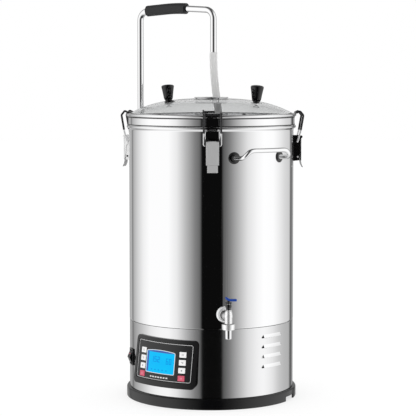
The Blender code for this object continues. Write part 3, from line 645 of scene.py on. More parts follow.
def make_base():
    inner = SHELL_RADIUS - WALL
    low = low_of("base_shell").z
    outline = [
        (SHELL_RADIUS - 0.6, low), (SHELL_RADIUS, low + 0.6), (SHELL_RADIUS, low + 1.5),
        (SHELL_RADIUS, SHELL_TOP - 2.6), (SHELL_RADIUS, SHELL_TOP - 1.6),
        (SHELL_RADIUS - 0.5, SHELL_TOP - 0.5), (SHELL_RADIUS - 1.6, SHELL_TOP), (147, SHELL_TOP),
        (147, SHELL_TOP - WALL), (inner, SHELL_TOP - WALL), (inner, low + WALL),
        (150, low + WALL), (150, low),
    ]
    shell = piece("shell", "brushed_steel", lathe(outline), stands=["base_shell"])
    combine(shell, wall_cutter(*SHELL_WINDOW, 3, outer=SHELL_CUT))
    cut = block((23, 20, 30), (0, -SHELL_RADIUS, SWITCH_HEIGHT))
    combine(shell, cut, azimuth=SWITCH_AZIMUTH)
    cut = block((33, 20, 25), (0, -SHELL_RADIUS, INLET_HEIGHT))
    combine(shell, cut, azimuth=INLET_AZIMUTH)
    combine(shell, rod(CUT_INNER, SHELL_CUT, PUMP_HEIGHT, PUMP_HOLE), azimuth=ARM_AZIMUTH)
    for height in LOUVRE_HEIGHTS:
        for start, slit_low, slit_high in LOUVRE_SLITS:
            combine(shell, wall_cutter(
                LOUVRE_START + start, LOUVRE_END - 1.2, height + slit_low, height + slit_high,
                outer=SHELL_CUT,
            ))
    for number, height in enumerate(LOUVRE_HEIGHTS, 1):
        piece(
            f"louvre_{number}", "brushed_steel", louvre_hood(height), sharp=50,
            finish="polished_steel",
        )

    ring_top = RING_HEIGHT
    ring = [(162.0, 0), (164.2, 0)] + arc((RING_RADIUS - 1.4, 1.4), 1.4, -80, 0, 4)
    ring += arc((RING_RADIUS - 3.4, ring_top - 3.4), 3.4, 0, 90, 8)
    ring += [(145, ring_top), (145, ring_top - 3), (162.0, ring_top - 3)]
    base_ring = piece("plastic_ring", "black_plastic", lathe(ring), stands=["base_ring"])
    wide, tall = NOTCH_SIZE
    for azimuth in (NOTCH_AZIMUTH, NOTCH_AZIMUTH - 180):
        notch = block((wide, 20, tall * 2), (0, -RING_RADIUS, 0), 1.5)
        combine(base_ring, notch, azimuth=azimuth)


def make_malt_pipe():
    radius, foot, top, screen = 140.0, 152.8, 512.0, 178.0
    inner = radius - 1.0
    lip = arc((radius - 0.5, top - 0.5), 0.5, 0, 180, 6)
    outline = [(radius, foot)] + lip + [
        (inner, screen), (inner - 8, screen), (inner - 8, screen - 1.5),
        (inner, screen - 1.5), (inner, foot),
    ]
    pipe = piece("grain_basket", "inner_steel", lathe(outline, 128), stands=["malt_pipe"])
    for azimuth in (0, 60, 120):
        combine(pipe, block((70, 300, 24), (0, 0, foot)), azimuth=azimuth)


# --- lid ------------------------------------------------------------------------------------------

COLLAR_RADIUS = 33.4
COLLAR_HOLE = 28.0
LID_EDGE = 157.0
LID_EDGE_HEIGHT = 552.0
LID_RISE = 28.0
GLASS = 3.0
LID_BEAD_CENTRE = (162.5, 548.3)
LID_BEAD = 3.0
KNOB_REACH = math.hypot(85.0, 77.0)
KNOB_FOOT = 571.6
KNOBS = {
    "right": math.degrees(math.atan2(85.0, 77.0)),
    "left": math.degrees(math.atan2(-85.0, -77.0)),
}


def dome(radius):
    return LID_EDGE_HEIGHT + LID_RISE * (1 - (radius / LID_EDGE) ** 3)


def make_lid():
    hole, edge = COLLAR_HOLE + 2.6, 159.0
    radii = [hole + (edge - hole) * (i / 32) ** 0.8 for i in range(33)]
    ledge = LID_BEAD_CENTRE[1] + 0.5
    outline = [(r, dome(r)) for r in radii]
    outline += [(r, max(dome(r) - GLASS, ledge)) for r in reversed(radii)]
    lid = piece(
        "dome_glass", "lid_glass", lathe(outline), body="lid", stands=["glass_lid"], sharp=60
    )

    low = RIM_HEIGHT + 0.3
    bead = arc(LID_BEAD_CENTRE, LID_BEAD, -88, 62, 14)
    band = [(153, low), (161.3, low)] + bead + [
        (edge + 0.9, ledge + 2.4), (edge + 0.35, ledge + 1.4), (edge + 0.3, ledge - 0.3),
        (153, ledge - 0.3),
    ]
    piece("rolled_rim", "polished_steel", lathe(band), body="lid", stands=["lid_rim_band"])

    top = dome(COLLAR_RADIUS) + 0.45
    low = top - 8.3
    flange = arc((COLLAR_RADIUS - 0.8, top + 1.3), 0.8, -90, 90, 6)
    lower = arc((COLLAR_RADIUS - 0.8, low + 0.8), 0.8, -90, 90, 6)
    collar = [(COLLAR_HOLE, low)] + lower + [(hole - 0.3, low + 1.6), (hole - 0.3, top)]
    collar += flange + [(COLLAR_HOLE + 0.4, top + 2.1), (COLLAR_HOLE, top + 1.7)]
    piece("collar", "polished_steel", lathe(collar, 128), body="lid", stands=["lid_collar"])

    stud = 2.6
    for side, azimuth in KNOBS.items():
        where = {"origin": (0, -KNOB_REACH, KNOB_FOOT), "azimuth": azimuth, "tilt": 5.0}
        washer = [
            (0, -8.2), (6.0, -8.2), (6.4, -7.8), (6.4, -7.3), (6.0, -6.9), (stud, -6.9),
            (stud, 0), (9.9, 0), (10.4, 0.2), (10.5, 0.6), (10.2, 1.0), (5.6, 1.3), (0, 1.3),
        ]
        knob = [
            (0, 1.4), (5.6, 1.4), (5.9, 2.0), (7.2, 4.2), (8.4, 6.2), (9.1, 8.6), (9.8, 14),
            (10.6, 19), (11.6, 25), (12.4, 29), (12.6, 30.8), (12.2, 32.2), (10.8, 33.3),
            (8.5, 34.1), (4.5, 34.7), (0, 34.9),
        ]
        piece(
            f"knob_{side}", "black_plastic", lathe(knob, 64), body="lid",
            stands=[f"lid_knob_{side}"], sharp=60, **where
        )
        piece(f"knob_foot_{side}", "bright_fittings", lathe(washer, 64), body="lid", **where)
        combine(lid, sweep([(0, 0, -15), (0, 0, 10)], stud + 0.3, 32), sharp=60, **where)


# --- latches and handles --------------------------------------------------------------------------

LATCHES = {"front": 0.6, "right": 94.0, "back": 180.0, "left": -105.0}
LEVER_PIVOT = (175.0, 505.0)
BAIL_PIVOT = (167.0, 495.0)
HOOK_BAR = (165.7, 552.2)
BAIL_HALF = 16.05
BAIL_WIRE = 1.75
HANDLES = {"front": 34.0, "rear": -150.0}
HANDLE_SPAN = 18.85
HANDLE_POST = 471.5
HANDLE_BAR = 486.0
HANDLE_REACH = 190.0
HANDLE_WIRE = 4.25


def make_latch(side, azimuth):
    # painted light and shade: the left latch is burnt out to white in the photo, down to one dark
    # rivet, so its sheet is painted glare white and its rivet painted dark; the other latches'
    # sheets are painted dark, a painted reflection of the dark studio
    sheet, stud = ("white_nickel", "dark_nickel") if side == "left" else (
        "dark_nickel", "satin_steel"
    )
    pivot_r, pivot_z = LEVER_PIVOT
    nose = arc(LEVER_PIVOT, 2.6, 80, -80, 10)
    ear = [(WALL_FACE + 0.4, 508)] + nose + [
        (172.6, 500), (171.6, 459), (WALL_FACE + 0.4, 458)
    ]
    half = 10.2
    back = block((20.4, 1.6, 50), (0, -WALL_FACE - 0.9, 483), 0.3)
    # the bracket's sheet: painted glare white on the left latch, painted dark on the others
    bracket = piece(
        f"bracket_{side}", "bright_fittings", back, stands=[f"latch_{side}_bracket"],
        finish=sheet, azimuth=azimuth,
    )
    rivet = sweep([(-10.6, -168.5, 466), (10.6, -168.5, 466)], 1.9, 20)
    piece(f"rivet_{side}", "bright_fittings", rivet, finish=stud, azimuth=azimuth)
    for left in (-half, half - 2):
        combine(bracket, side_prism(ear, left, left + 2), "UNION", azimuth=azimuth)
    pin_hole = sweep([(-20, -pivot_r, pivot_z), (20, -pivot_r, pivot_z)], 1.8, 24)
    combine(bracket, pin_hole, azimuth=azimuth)
    soften(bracket, 0.25)

    where = {"origin": (0, -pivot_r, pivot_z), "azimuth": azimuth}
    body = f"latch_{side}_lever"
    half = 12.0
    web = [(173.8, 459), (175.5, 459), (175.5, 503.4), (173.8, 503.4)]
    lever = piece(
        f"lever_{side}", "bright_fittings", side_prism(web, -half, half, LEVER_PIVOT),
        body=body, stands=[f"latch_{side}_lever"], finish="satin_steel", **where
    )
    bail_r, bail_z = BAIL_PIVOT
    cheek = [
        (174.6, 459.6), (174.6, 501), (177.0, 503.6), (177.8, 504.6), (177.2, 506.8),
        (175.0, 508.0), (171.6, 506.6), (bail_r - 2.0, bail_z + 2.6), (bail_r - 2.8, bail_z + 0.2),
        (bail_r - 2.4, bail_z - 1.8), (bail_r - 0.6, bail_z - 2.8), (171.0, 486), (172.0, 470),
        (173.4, 458.6),
    ]
    # the cheeks' sheet: painted glare white on the left latch, painted dark on the others
    cheeks = piece(
        f"cheeks_{side}", "bright_fittings",
        side_prism(cheek, -half, 1.4 - half, LEVER_PIVOT), body=body,
        finish=sheet, **where
    )
    combine(cheeks, side_prism(cheek, half - 1.4, half, LEVER_PIVOT), "UNION", **where)
    tab = [
        (173.8, 461), (175.3, 461), (175.3, 456.5), (175.8, 453.4), (176.6, 451), (179.2, 445.6),
        (178.0, 445), (175.3, 450.4), (174.4, 453.4), (173.8, 456.5),
    ]
    combine(lever, side_prism(tab, -9.75, 9.75, LEVER_PIVOT), "UNION", **where)
    pin = sweep([(-half - 0.5, 0, 0), (half + 0.5, 0, 0)], 1.5, 24)
    combine(cheeks, pin, "UNION", **where)
    soften(lever, 0.45, 3)
    soften(cheeks, 0.3, 2)

    def wire_path(outer, radii, ends=()):
        """The path up one side of the bail and down the other, about its pivot."""
        right = [*ends] + [(BAIL_HALF, r, z) for r, z in outer]
        corners = right + [(-x, r, z) for x, r, z in reversed(right)]
        corners = [(x, bail_r - r, z - bail_z) for x, r, z in corners]
        return rounded(corners, radii + radii[::-1], 6)

    foot = (half + 0.4, *BAIL_PIVOT)
    leg = [BAIL_PIVOT, (173.0, 515.0), (178.6, 547.0), (172.0, 555.0), HOOK_BAR]
    bail = sweep(wire_path(leg, [2.6, 20.0, 4.5, 2.5, 2.6], [foot]), BAIL_WIRE, 16)
    where = {"origin": (0, -bail_r, bail_z), "azimuth": azimuth}
    body = f"latch_{side}_bail"
    piece(f"bail_{side}", "bright_fittings", bail, body=body, stands=[body], **where)
    hook = [(173.5, 518.0), (178.6, 547.0), (172.0, 555.0), HOOK_BAR]
    sleeve = sweep(wire_path(hook, [4.5, 2.5, 2.6]), 2.0, 16, BAIL_WIRE + 0.01)
    piece(
        f"bail_sleeve_{side}", "black_plastic", sleeve, body=body,
        finish="hook_sleeve", **where
    )


def make_handle(side, azimuth):
    """A rod that leaves two flanges straight out, then curves up and in to a straight bar."""
    span = math.radians(HANDLE_SPAN)
    post, bar, reach = HANDLE_POST, HANDLE_BAR, HANDLE_REACH
    foot = WALL_FACE + 1.0
    half = [
        (foot * math.sin(span), foot * math.cos(span), post), (51.4, reach - 22.0, post),
        (51.2, reach - 10.5, post + 1.2), (48.6, reach - 3.6, post + 6.0),
        (42.8, reach - 0.6, bar - 2.4), (34.5, reach, bar), (17.0, reach, bar),
    ]
    knots = [(-x, -y, z) for x, y, z in half] + [(0.0, -reach, bar)]
    knots += [(x, -y, z) for x, y, z in reversed(half)]
    piece(
        f"grab_rod_{side}", "bright_fittings", sweep(smooth_path(knots, 8), HANDLE_WIRE, 24),
        stands=[f"handle_{side}"], azimuth=azimuth,
    )
    washer = [(0, 0.0), (11.0, 0.0), (11.2, 0.3), (11.2, 1.5), (10.8, 1.8), (0, 1.8)]
    flange = [(0, 1.8), (9.9, 1.8), (9.9, 2.2), (9.0, 3.2), (7.2, 3.6), (5.6, 3.9), (4.9, 4.6)]
    flange += [(4.6, 6.0), (0, 6.0)]
    for number, turn in enumerate((-HANDLE_SPAN, HANDLE_SPAN), 1):
        where = {"origin": (0, -WALL_FACE, post), "azimuth": azimuth + turn, "tilt": 90}
        piece(f"flange_washer_{side}_{number}", "black_plastic", lathe(washer, 64), **where)
        # the flanges' nickel is painted dark, a painted reflection of the dark studio
        piece(
            f"flange_{side}_{number}", "bright_fittings", lathe(flange, 64),
            finish="dark_nickel", **where
        )


# --- tap and recirculation ------------------------------------------------------------------------

TAP_RADIUS = 208.0
TAP_BODY = 7.4
TAP_HOUSING = 9.6
TAP_BORE = 4.5
TAP_TOP = 206.4
TAP_BOTTOM = 169.5
LEVER_BACK = 5.9
LEVER_TIP = 15.6


def sphere_at(radius, height, size):
    bm = bmesh.new()
    bmesh.ops.create_uvsphere(
        bm, u_segments=40, v_segments=24, radius=size,
        matrix=Matrix.Translation((0, -radius, height)),
    )
    return bm


def make_tap():
    where = {"azimuth": TAP_AZIMUTH, "tilt": 90}
    flange = [(7.5, 0), (14.8, 0), (15.2, 0.4), (15.2, 1.0), (14.6, 2.0), (13.3, 3.0), (11.4, 3.8)]
    flange += [(9.4, 4.3), (7.5, 4.5)]
    # the wall flange is a painted lit copy of the tap's nickel
    piece(
        "wall_flange", "bright_fittings", lathe(flange, 96), stands=["tap_flange"],
        finish="pale_nickel", origin=(0, -WALL_FACE - 0.2, TAP_HEIGHT), **where
    )
    body = [(0, TAP_BOTTOM), (TAP_BODY - 0.5, TAP_BOTTOM), (TAP_BODY, TAP_BOTTOM + 0.6)]
    body += arc((0.0, 188.0), TAP_BODY, 0, 48, 8)
    body += [(4.7, 194.2), (3.4, 194.6), (3.4, TAP_TOP), (0, TAP_TOP)]
    upright = {"origin": (0, -TAP_RADIUS, 0), "azimuth": TAP_AZIMUTH}
    tap = piece(
        "tap_casting", "bright_fittings", lathe(body, 64), stands=["tap_body"],
        finish="cast_nickel", **upright
    )
    gland = [(3.3, 194.8), (4.4, 195.0), (4.4, 198.6), (5.6, 199.2), (6.0, 203.0), (5.0, 205.8)]
    # the gland's nickel is painted dark, a painted reflection of the dark studio
    piece(
        "tap_gland", "bright_fittings", lathe(gland + [(3.3, 205.8)], 48),
        finish="dark_nickel", **upright
    )
    stations = [146, 166, 168, 170.5, 175, 188, 193, 197, 200]
    radii = [TAP_NECK, TAP_NECK, 8.2, TAP_HOUSING - 0.5, TAP_HOUSING, TAP_HOUSING, 9.0, 8.0, 7.3]
    neck = sweep([(0, -radius, TAP_HEIGHT) for radius in stations], radii, 48)
    combine(tap, neck, "UNION", azimuth=TAP_AZIMUTH)
    combine(tap, sphere_at(TAP_RADIUS - 0.6, TAP_HEIGHT + 3.0, 8.2), "UNION", azimuth=TAP_AZIMUTH)
    combine(tap, rod(144, TAP_RADIUS, TAP_HEIGHT, TAP_BORE), azimuth=TAP_AZIMUTH)
    bore = sweep([(0, 0, TAP_BOTTOM - 5), (0, 0, TAP_HEIGHT + 4)], TAP_BORE - 0.2, 24)
    combine(tap, bore, **upright)
    soften(tap, 0.5, 3)

    hub = TAP_TOP + 0.3
    where = upright | {"body": "tap_lever", "origin": (0, -TAP_RADIUS, hub)}
    washer = [(0, 0), (6.1, 0), (6.4, 0.3), (6.4, 2.1), (6.1, 2.4), (0, 2.4)]
    piece("stem_washer", "black_plastic", lathe(washer, 48), **where)
    stem = [(0, 2.4), (3.2, 2.4), (3.2, 6.4), (0, 6.4)]
    # the stem's nickel is painted dark, a painted reflection of the dark studio
    piece(
        "lever_stem", "bright_fittings", lathe(stem, 32), finish="dark_nickel", **where
    )
    profile = smooth_path([
        (-LEVER_BACK, 0, 11.2), (-3.0, 0, 9.4), (0.6, 0, 7.3), (4.2, 0, 6.4), (10, 0, 6.2),
        (LEVER_TIP, 0, 6.1),
    ], 6)
    rings = []
    lever = bmesh.new()
    for station, along in zip(profile, tangents(profile)):
        up = Vector((-along.z, 0, along.x))
        near_end = min(station.x + LEVER_BACK, LEVER_TIP - station.x)
        round_off = math.sqrt(max(0.0, 1 - max(0.0, 1 - near_end / 2.4) ** 2))
        half_width, half_thick = 4.8 * (0.35 + 0.65 * round_off), 2.3 * (0.5 + 0.5 * round_off)
        ring = []
        for i in range(24):
            turn = math.tau * i / 24
            side = math.copysign(abs(math.cos(turn)) ** 0.6, math.cos(turn)) * half_width
            rise = math.copysign(abs(math.sin(turn)) ** 0.6, math.sin(turn)) * half_thick
            ring.append(lever.verts.new(station + Vector((0, side, 0)) + up * rise))
        rings.append(ring)
    skin(lever, rings)
    piece("blue_lever", "blue_levers", lever, stands=["tap_lever"], sharp=60, **where)

    low, high = 158.2, TAP_BOTTOM - 0.3
    nut = [
        (6.8, low), (11.2, low), (12.0, low + 0.5), (12.4, low + 1.4), (12.4, high - 1.4),
        (12.0, high - 0.5), (11.2, high), (6.8, high),
    ]
    nut = piece(
        "hose_nut", "bright_fittings", lathe(nut, 96), stands=["tap_hose_nut"],
        finish="cast_nickel", **upright
    )
    spout = [(TAP_BORE, 141), (5.7, 141), (6.2, 141.4), (6.45, 142), (6.45, high), (TAP_BORE, high)]
    piece(
        "spout_tail", "bright_fittings", lathe(spout, 64), stands=["tap_spout"],
        **upright
    )


ARM_RADIUS = 173.4
ARM_HEIGHT = 751.2
ARM_CAMBER = 5.6
ARM_REACH = 178.4
ARM_BEND = 19.0
PIPE = 6.0
PIPE_BORE = 4.6
GRIP = 10.75
GRIP_EDGE = 1.2
COUPLING = 416.0
VALVE_HEIGHT = 143.0
VALVE_HALF = 15.0
HOSE = 7.2
HOSE_WALL = 2.0
HOSE_ROUTE = (
    (4.1, -2.9, 669.6),
    (4.2, -3.0, 654.0),
    (5.2, -3.3, 630.0),
    (7.4, -4.0, 606.0),
    (10.0, -5.0, 582.0),
    (13.6, -6.5, 556.0),
    (17.0, -8.0, 526.0),
    (19.0, -9.0, 492.0),
)


def make_riser():
    where = {"azimuth": ARM_AZIMUTH}
    axis = (0, -ARM_RADIUS)
    low, high = VALVE_HEIGHT - VALVE_HALF, VALVE_HEIGHT + VALVE_HALF
    heights = [low, low + 7, low + 8, high - 8, high - 7, high]
    shape = sweep([(*axis, z) for z in heights], [10.5, 10.5, 9.2, 9.2, 10.5, 10.5], 48, PIPE_BORE)
    valve = piece(
        "ball_valve", "bright_fittings", shape, stands=["recirculation_valve"], **where
    )
    boss = rod(ARM_RADIUS + 8, ARM_RADIUS + 13, VALVE_HEIGHT, 6.5, 32)
    combine(valve, boss, "UNION", **where)
    soften(valve, 0.4)
    stem = (0, -ARM_RADIUS - 13.3, VALVE_HEIGHT)
    hub = sweep([(0, 0, 0), (0, -5, 0)], 7.0, 40)
    lever = piece(
        "valve_lever", "blue_levers", hub, body="recirculation_valve_lever",
        stands=["recirculation_valve_lever"], origin=stem, **where
    )
    handle = block((8, 3, 42), (0, -3.2, 20), 1.2)
    combine(lever, handle, "UNION", origin=stem, **where)
    soften(lever, 0.3)
    riser = sweep([(*axis, high + 0.3), (*axis, COUPLING)], PIPE, 40, PIPE_BORE)
    piece("riser_tube", "bright_fittings", riser, stands=["recirculation_riser"], **where)
    heights = [402, 403, 414.4, 415.2, 416.8, 417.6, 429, 430]
    radii = [8.8, 9.5, 9.5, 9.0, 9.0, 9.5, 9.5, 8.8]
    nut = sweep([(*axis, z) for z in heights], radii, 48, PIPE + 0.3)
    piece("union_nut", "bright_fittings", nut, stands=["pipe_coupling_nut"], **where)


def make_arm():
    low = COUPLING + 0.3
    top = ARM_HEIGHT - low
    route = rounded([
        (0, 0, 0), (0, 0, top), (0, ARM_REACH / 2, top + ARM_CAMBER), (0, ARM_REACH, top),
        (0, ARM_REACH, ARM_END_HEIGHT - low),
    ], [ARM_BEND, 400, ARM_BEND], 14)
    where = {"origin": (0, -ARM_RADIUS, low), "azimuth": ARM_AZIMUTH}
    piece(
        "swivel_pipe", "bright_fittings", sweep(route, PIPE, 40, PIPE_BORE), body="arm",
        stands=["recirculation_pipe"], **where
    )
    run = route[15:31]
    start = run[0] + (run[1] - run[0]).normalized() * GRIP_EDGE
    finish = run[-1] + (run[-2] - run[-1]).normalized() * GRIP_EDGE
    run = [run[0], start] + run[1:-1] + [finish, run[-1]]
    ends = [GRIP - GRIP_EDGE] + [GRIP] * (len(run) - 2) + [GRIP - GRIP_EDGE]
    piece(
        "foam_grip", "grip_rubber", sweep(run, ends, 48, PIPE + 0.4), body="arm",
        stands=["pipe_grip"], **where
    )

    path = smooth_path(HOSE_ROUTE, 5)
    hose = piece(
        "hose", "silicone", sweep(path, HOSE, 40, HOSE - HOSE_WALL), body="arm",
        stands=["recirculation_hose"],
    )
    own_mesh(hose)


# --- controller, switch and inlet -----------------------------------------------------------------

PANEL_START = -58.8
PANEL_END = -9.2
PANEL_LOW = 41.0
PANEL_HIGH = 131.0
PANEL_RADIUS_LOW = 175.5
PANEL_RADIUS_HIGH = 162.5
PANEL_MIDDLE = -34.0
PANEL_DROOP = 0.05
PANEL_LIFT = -0.3
FACE_START = -56.2
FACE_END = -12.1
FACE_LOW = 51.5
FACE_HIGH = 124.0
LCD_START = -46.7
LCD_END = -24.5
LCD_LOW = 65.7
LCD_HIGH = 104.9
LCD_ARCH = 3.0
BUTTON_AZIMUTHS = {"left": -49.9, "right": -19.0}
BUTTON_HEIGHTS = (104.2, 89.6, 75.0, 60.6)
# (width, height) and (x, z) of each mark on a button, row by row
BUTTON_MARKS = (
    (((4.4, 0.9), (0, 1.1)), ((4.4, 0.9), (0, -1.1))),
    (((5.0, 1.0), (0, 0.9)), ((2.6, 1.0), (1.0, -1.1))),
    (((3.0, 3.0), (0, 0)),),
    (((0.9, 3.4), (-1.2, 0)), ((0.9, 3.4), (1.2, 0))),
)
SEGMENTS = {"0": "abcdef", "1": "bc", "2": "abged", "5": "afgcd", "6": "afgedc"}
PANEL_SLOPE = (PANEL_RADIUS_LOW - PANEL_RADIUS_HIGH) / (PANEL_HIGH - PANEL_LOW)
PANEL_TILT = -math.degrees(math.atan(PANEL_SLOPE))


def panel_front(height):
    return PANEL_RADIUS_LOW - (height - PANEL_LOW) * PANEL_SLOPE


def panel_place(azimuth, height):
    """The panel keeps its width over its height, and sits slightly lower towards its right."""
    middle = panel_front((PANEL_LOW + PANEL_HIGH) / 2)
    aside = (azimuth - PANEL_MIDDLE) * middle / panel_front(height)
    return PANEL_MIDDLE + aside, height + PANEL_LIFT - PANEL_DROOP * aside


def panel_slab(*sizes, **more):
    return arc_slab(*sizes, bend=panel_place, **more)


def panel_cutter(*sizes, **more):
    return wall_cutter(*sizes, bend=panel_place, **more)


def window_sizes(box, aside, up):
    """Start, end, low and high of a box that has grown by so much on each side."""
    start, end, low, high = box
    return start - aside, end + aside, low - up, high + up


def face_front(height):
    return panel_front(height) - 0.8


def face_back(height):
    return face_front(height) - 1.8


def offset(surface, by):
    return lambda height: surface(height) + by


def ink(name, start, end, low, high, finish, slot="faceplate", surface=face_front, corner=0.0):
    """A thin printed patch on the faceplate or the window."""
    shape = panel_slab(
        start, end, low, high, offset(surface, -0.05), offset(surface, 0.06), corner, columns=8
    )
    return piece(name, slot, shape, finish=finish)


def make_controller():
    face_box = (FACE_START, FACE_END, FACE_LOW, FACE_HIGH)
    lcd_box = (LCD_START, LCD_END, LCD_LOW, LCD_HIGH)
    lcd_front = offset(face_front, -0.4)
    housing = piece("panel_housing", "black_plastic", panel_slab(
        PANEL_START, PANEL_END, PANEL_LOW, PANEL_HIGH, radius_of(SHELL_FACE), panel_front, 9,
        columns=40,
    ), stands=["controller_housing"])
    combine(housing, panel_cutter(*window_sizes(face_box, 0.13, 0.35), 5, columns=40))
    soften(housing, 1.2, 4, 40)
    face = piece(
        "panel_film", "faceplate", panel_slab(*face_box, face_back, face_front, 4.6, columns=40),
        stands=["control_faceplate"],
    )
    combine(face, panel_cutter(*window_sizes(lcd_box, 0.13, 0.35), 2, LCD_ARCH))
    piece(
        "lcd_window", "lcd", panel_slab(*lcd_box, face_back, lcd_front, 1.8, LCD_ARCH),
        stands=["lcd_screen"],
    )
    # two thin printed frames: name, box, outer and inner growth, depths, corners, the rest
    for name, box, outer, inner, depths, corners, more in (
        ("border_line", face_box, (-0.5, -1.5), (-0.72, -2.15), (-0.05, 0.08), (4.0, 3.4),
         {"columns": 40}),
        ("lcd_bezel", lcd_box, (0.35, 0.9), (-0.05, -0.1), (-0.3, 0.12), (2.4, 1.8),
         {"arch": LCD_ARCH}),
    ):
        sides = [offset(face_front, depth) for depth in depths]
        line = piece(name, "faceplate", panel_slab(
            *window_sizes(box, *outer), *sides, corners[0], **more
        ), finish="pale_ink")
        combine(line, panel_cutter(*window_sizes(box, *inner), corners[1], **more))
    make_readout(lcd_front)
    for side, azimuth in BUTTON_AZIMUTHS.items():
        for row, height in enumerate(BUTTON_HEIGHTS, 1):
            turn, level = panel_place(azimuth, height)
            where = {
                "origin": (0, -face_front(height), level), "azimuth": turn, "tilt": PANEL_TILT
            }
            combine(face, block((14.3, 12, 11.3), bevel=0.8), **where)
            cap = block((13.5, 4.2, 10.5), (0, 0.9, 0), 0.9, 4)
            slot = "red_buttons" if row == len(BUTTON_HEIGHTS) else "white_buttons"
            name = f"button_{side}_{row}"
            piece(f"cap_{side}_{row}", slot, cap, body=name, stands=[name], **where)
            finish = "mark_red" if slot == "red_buttons" else "mark_grey"
            for number, (size, centre) in enumerate(BUTTON_MARKS[row - 1], 1):
                pip = block((size[0], 0.1, size[1]), (centre[0], -1.22, centre[1]))
                piece(
                    f"mark_{side}_{row}_{number}", slot, pip, body=name, finish=finish, **where
                )
    for number in range(7):
        start = -42.6 + 2.1 * number
        ink(f"pip_{number}", start, start + 1.35, 57.0, 59.4, "pale_ink")


def make_readout(surface):
    """Seven-segment digits, a shadow along the window's top and left, and a row of small marks."""
    per_mm = math.degrees(1 / surface(85.0))

    def patch(name, left, right, low, high, finish):
        shape = panel_slab(
            left, right, low, high, offset(surface, -0.05), offset(surface, 0.08), columns=6
        )
        piece(name, "lcd", shape, finish=finish)

    def digit(name, figure, left, low, wide, tall, line):
        middle, top, right = low + tall / 2, low + tall, left + wide * per_mm
        edge, half = line * per_mm, line / 2
        bars = {
            "a": (left, right, top - line, top), "d": (left, right, low, low + line),
            "g": (left, right, middle - half, middle + half),
            "f": (left, left + edge, middle, top), "b": (right - edge, right, middle, top),
            "e": (left, left + edge, low, middle), "c": (right - edge, right, low, middle),
        }
        for segment in SEGMENTS[figure]:
            patch(f"{name}_{segment}", *bars[segment], "lcd_digit")

    for number, figure in enumerate("152"):
        left = LCD_START + 4.2 + number * 7.2 * per_mm
        digit(f"large_digit_{number}", figure, left, 85.5, 5.4, 10.5, 1.3)
    for number, figure in enumerate("60"):
        left = LCD_END - 6.2 + number * 6.6 * per_mm
        digit(f"small_digit_{number}", figure, left, 83.5, 4.8, 11.0, 1.2)
    for number in range(5):
        left = LCD_START + 4.4 + number * 2.9
        patch(f"window_mark_{number}", left, left + 1.0, 70.4, 72.4, "lcd_digit")
    left = LCD_START + 0.25
    patch("window_shade_left", left, left + 1.5, LCD_LOW + 1.5, LCD_HIGH - 1.0, "lcd_shade")
    top = piece("window_shade_top", "lcd", panel_slab(
        LCD_START + 0.4, LCD_END - 0.3, LCD_HIGH - 4.2, LCD_HIGH - 0.5,
        offset(surface, -0.05), offset(surface, 0.07), 1.2, LCD_ARCH,
    ), finish="lcd_shade")
    combine(top, panel_cutter(LCD_START - 2, LCD_END + 2, LCD_LOW, LCD_HIGH - 1.2))


def make_switch():
    width, height = 25.0, 32.0
    where = {"azimuth": SWITCH_AZIMUTH}
    frame_piece = piece(
        "rocker_frame", "black_plastic",
        block((width, 2.0, height), (0, -SHELL_FACE - 1.1, SWITCH_HEIGHT), 0.7),
        stands=["switch_frame"], **where
    )
    body = block((width - 2.8, 20, height - 2.8), (0, -SHELL_FACE + 8.5, SWITCH_HEIGHT))
    combine(frame_piece, body, "UNION", **where)
    opening = block((18.8, 20, 26.8), (0, -SHELL_FACE + 4, SWITCH_HEIGHT))
    combine(frame_piece, opening, **where)
    where |= {"body": "power_rocker", "origin": (0, -ROCKER_PIN, SWITCH_HEIGHT)}
    profile = [(-6, -4), (1, -11.4), (6, -11.4), (10.4, -1), (5, 11.4), (1, 11.4), (-6, 4)]
    rocker = piece(
        "rocker", "black_plastic", side_prism(profile, -9.0, 9.0), stands=["power_rocker"], **where
    )
    soften(rocker, 0.7, 4)
    piece("rocker_mark", "red_buttons", block((7.0, 0.5, 2.2), (0, -7.55, 5.3)), **where)

    where = {"azimuth": INLET_AZIMUTH}
    flange = block((50, 2.5, 28), (0, -SHELL_FACE - 1.35, INLET_HEIGHT), 0.9)
    inlet = piece("mains_inlet", "black_plastic", flange, stands=["power_inlet"], **where)
    body = block((31, 26, 23), (0, -SHELL_FACE + 11, INLET_HEIGHT))
    combine(inlet, body, "UNION", **where)
    recess = block((25, 30, 17), (0, -SHELL_FACE - 4, INLET_HEIGHT))
    combine(inlet, recess, **where)
    for x, z in ((-7, -2.5), (0, 2.5), (7, -2.5)):
        pin = block((2, 16, 4), (x, -SHELL_FACE + 7, INLET_HEIGHT + z))
        combine(inlet, pin, "UNION", **where)


def repaint_hidden():
    """CAD nodes that keep their shape get a finished material."""
    hidden = {
        "base_plate": "painted_plate", "heating_plate": "painted_plate",
        "temperature_probe": "inner_steel", "malt_pipe_screen": "inner_steel",
        "pump_housing": "black_plastic", "pump_motor": "painted_plate",
        "pump_impeller": "white_buttons", "pump_inlet_pipe": "inner_steel",
        "pump_outlet_pipe": "inner_steel", "tap_lock_nut": "bright_fittings",
        "control_board": "board",
    }
    for node, slot in hidden.items():
        for holder in frame["nodes"][node].material_slots:
            holder.material = FINISHES[slot]


# --- light, floor and camera ----------------------------------------------------------------------

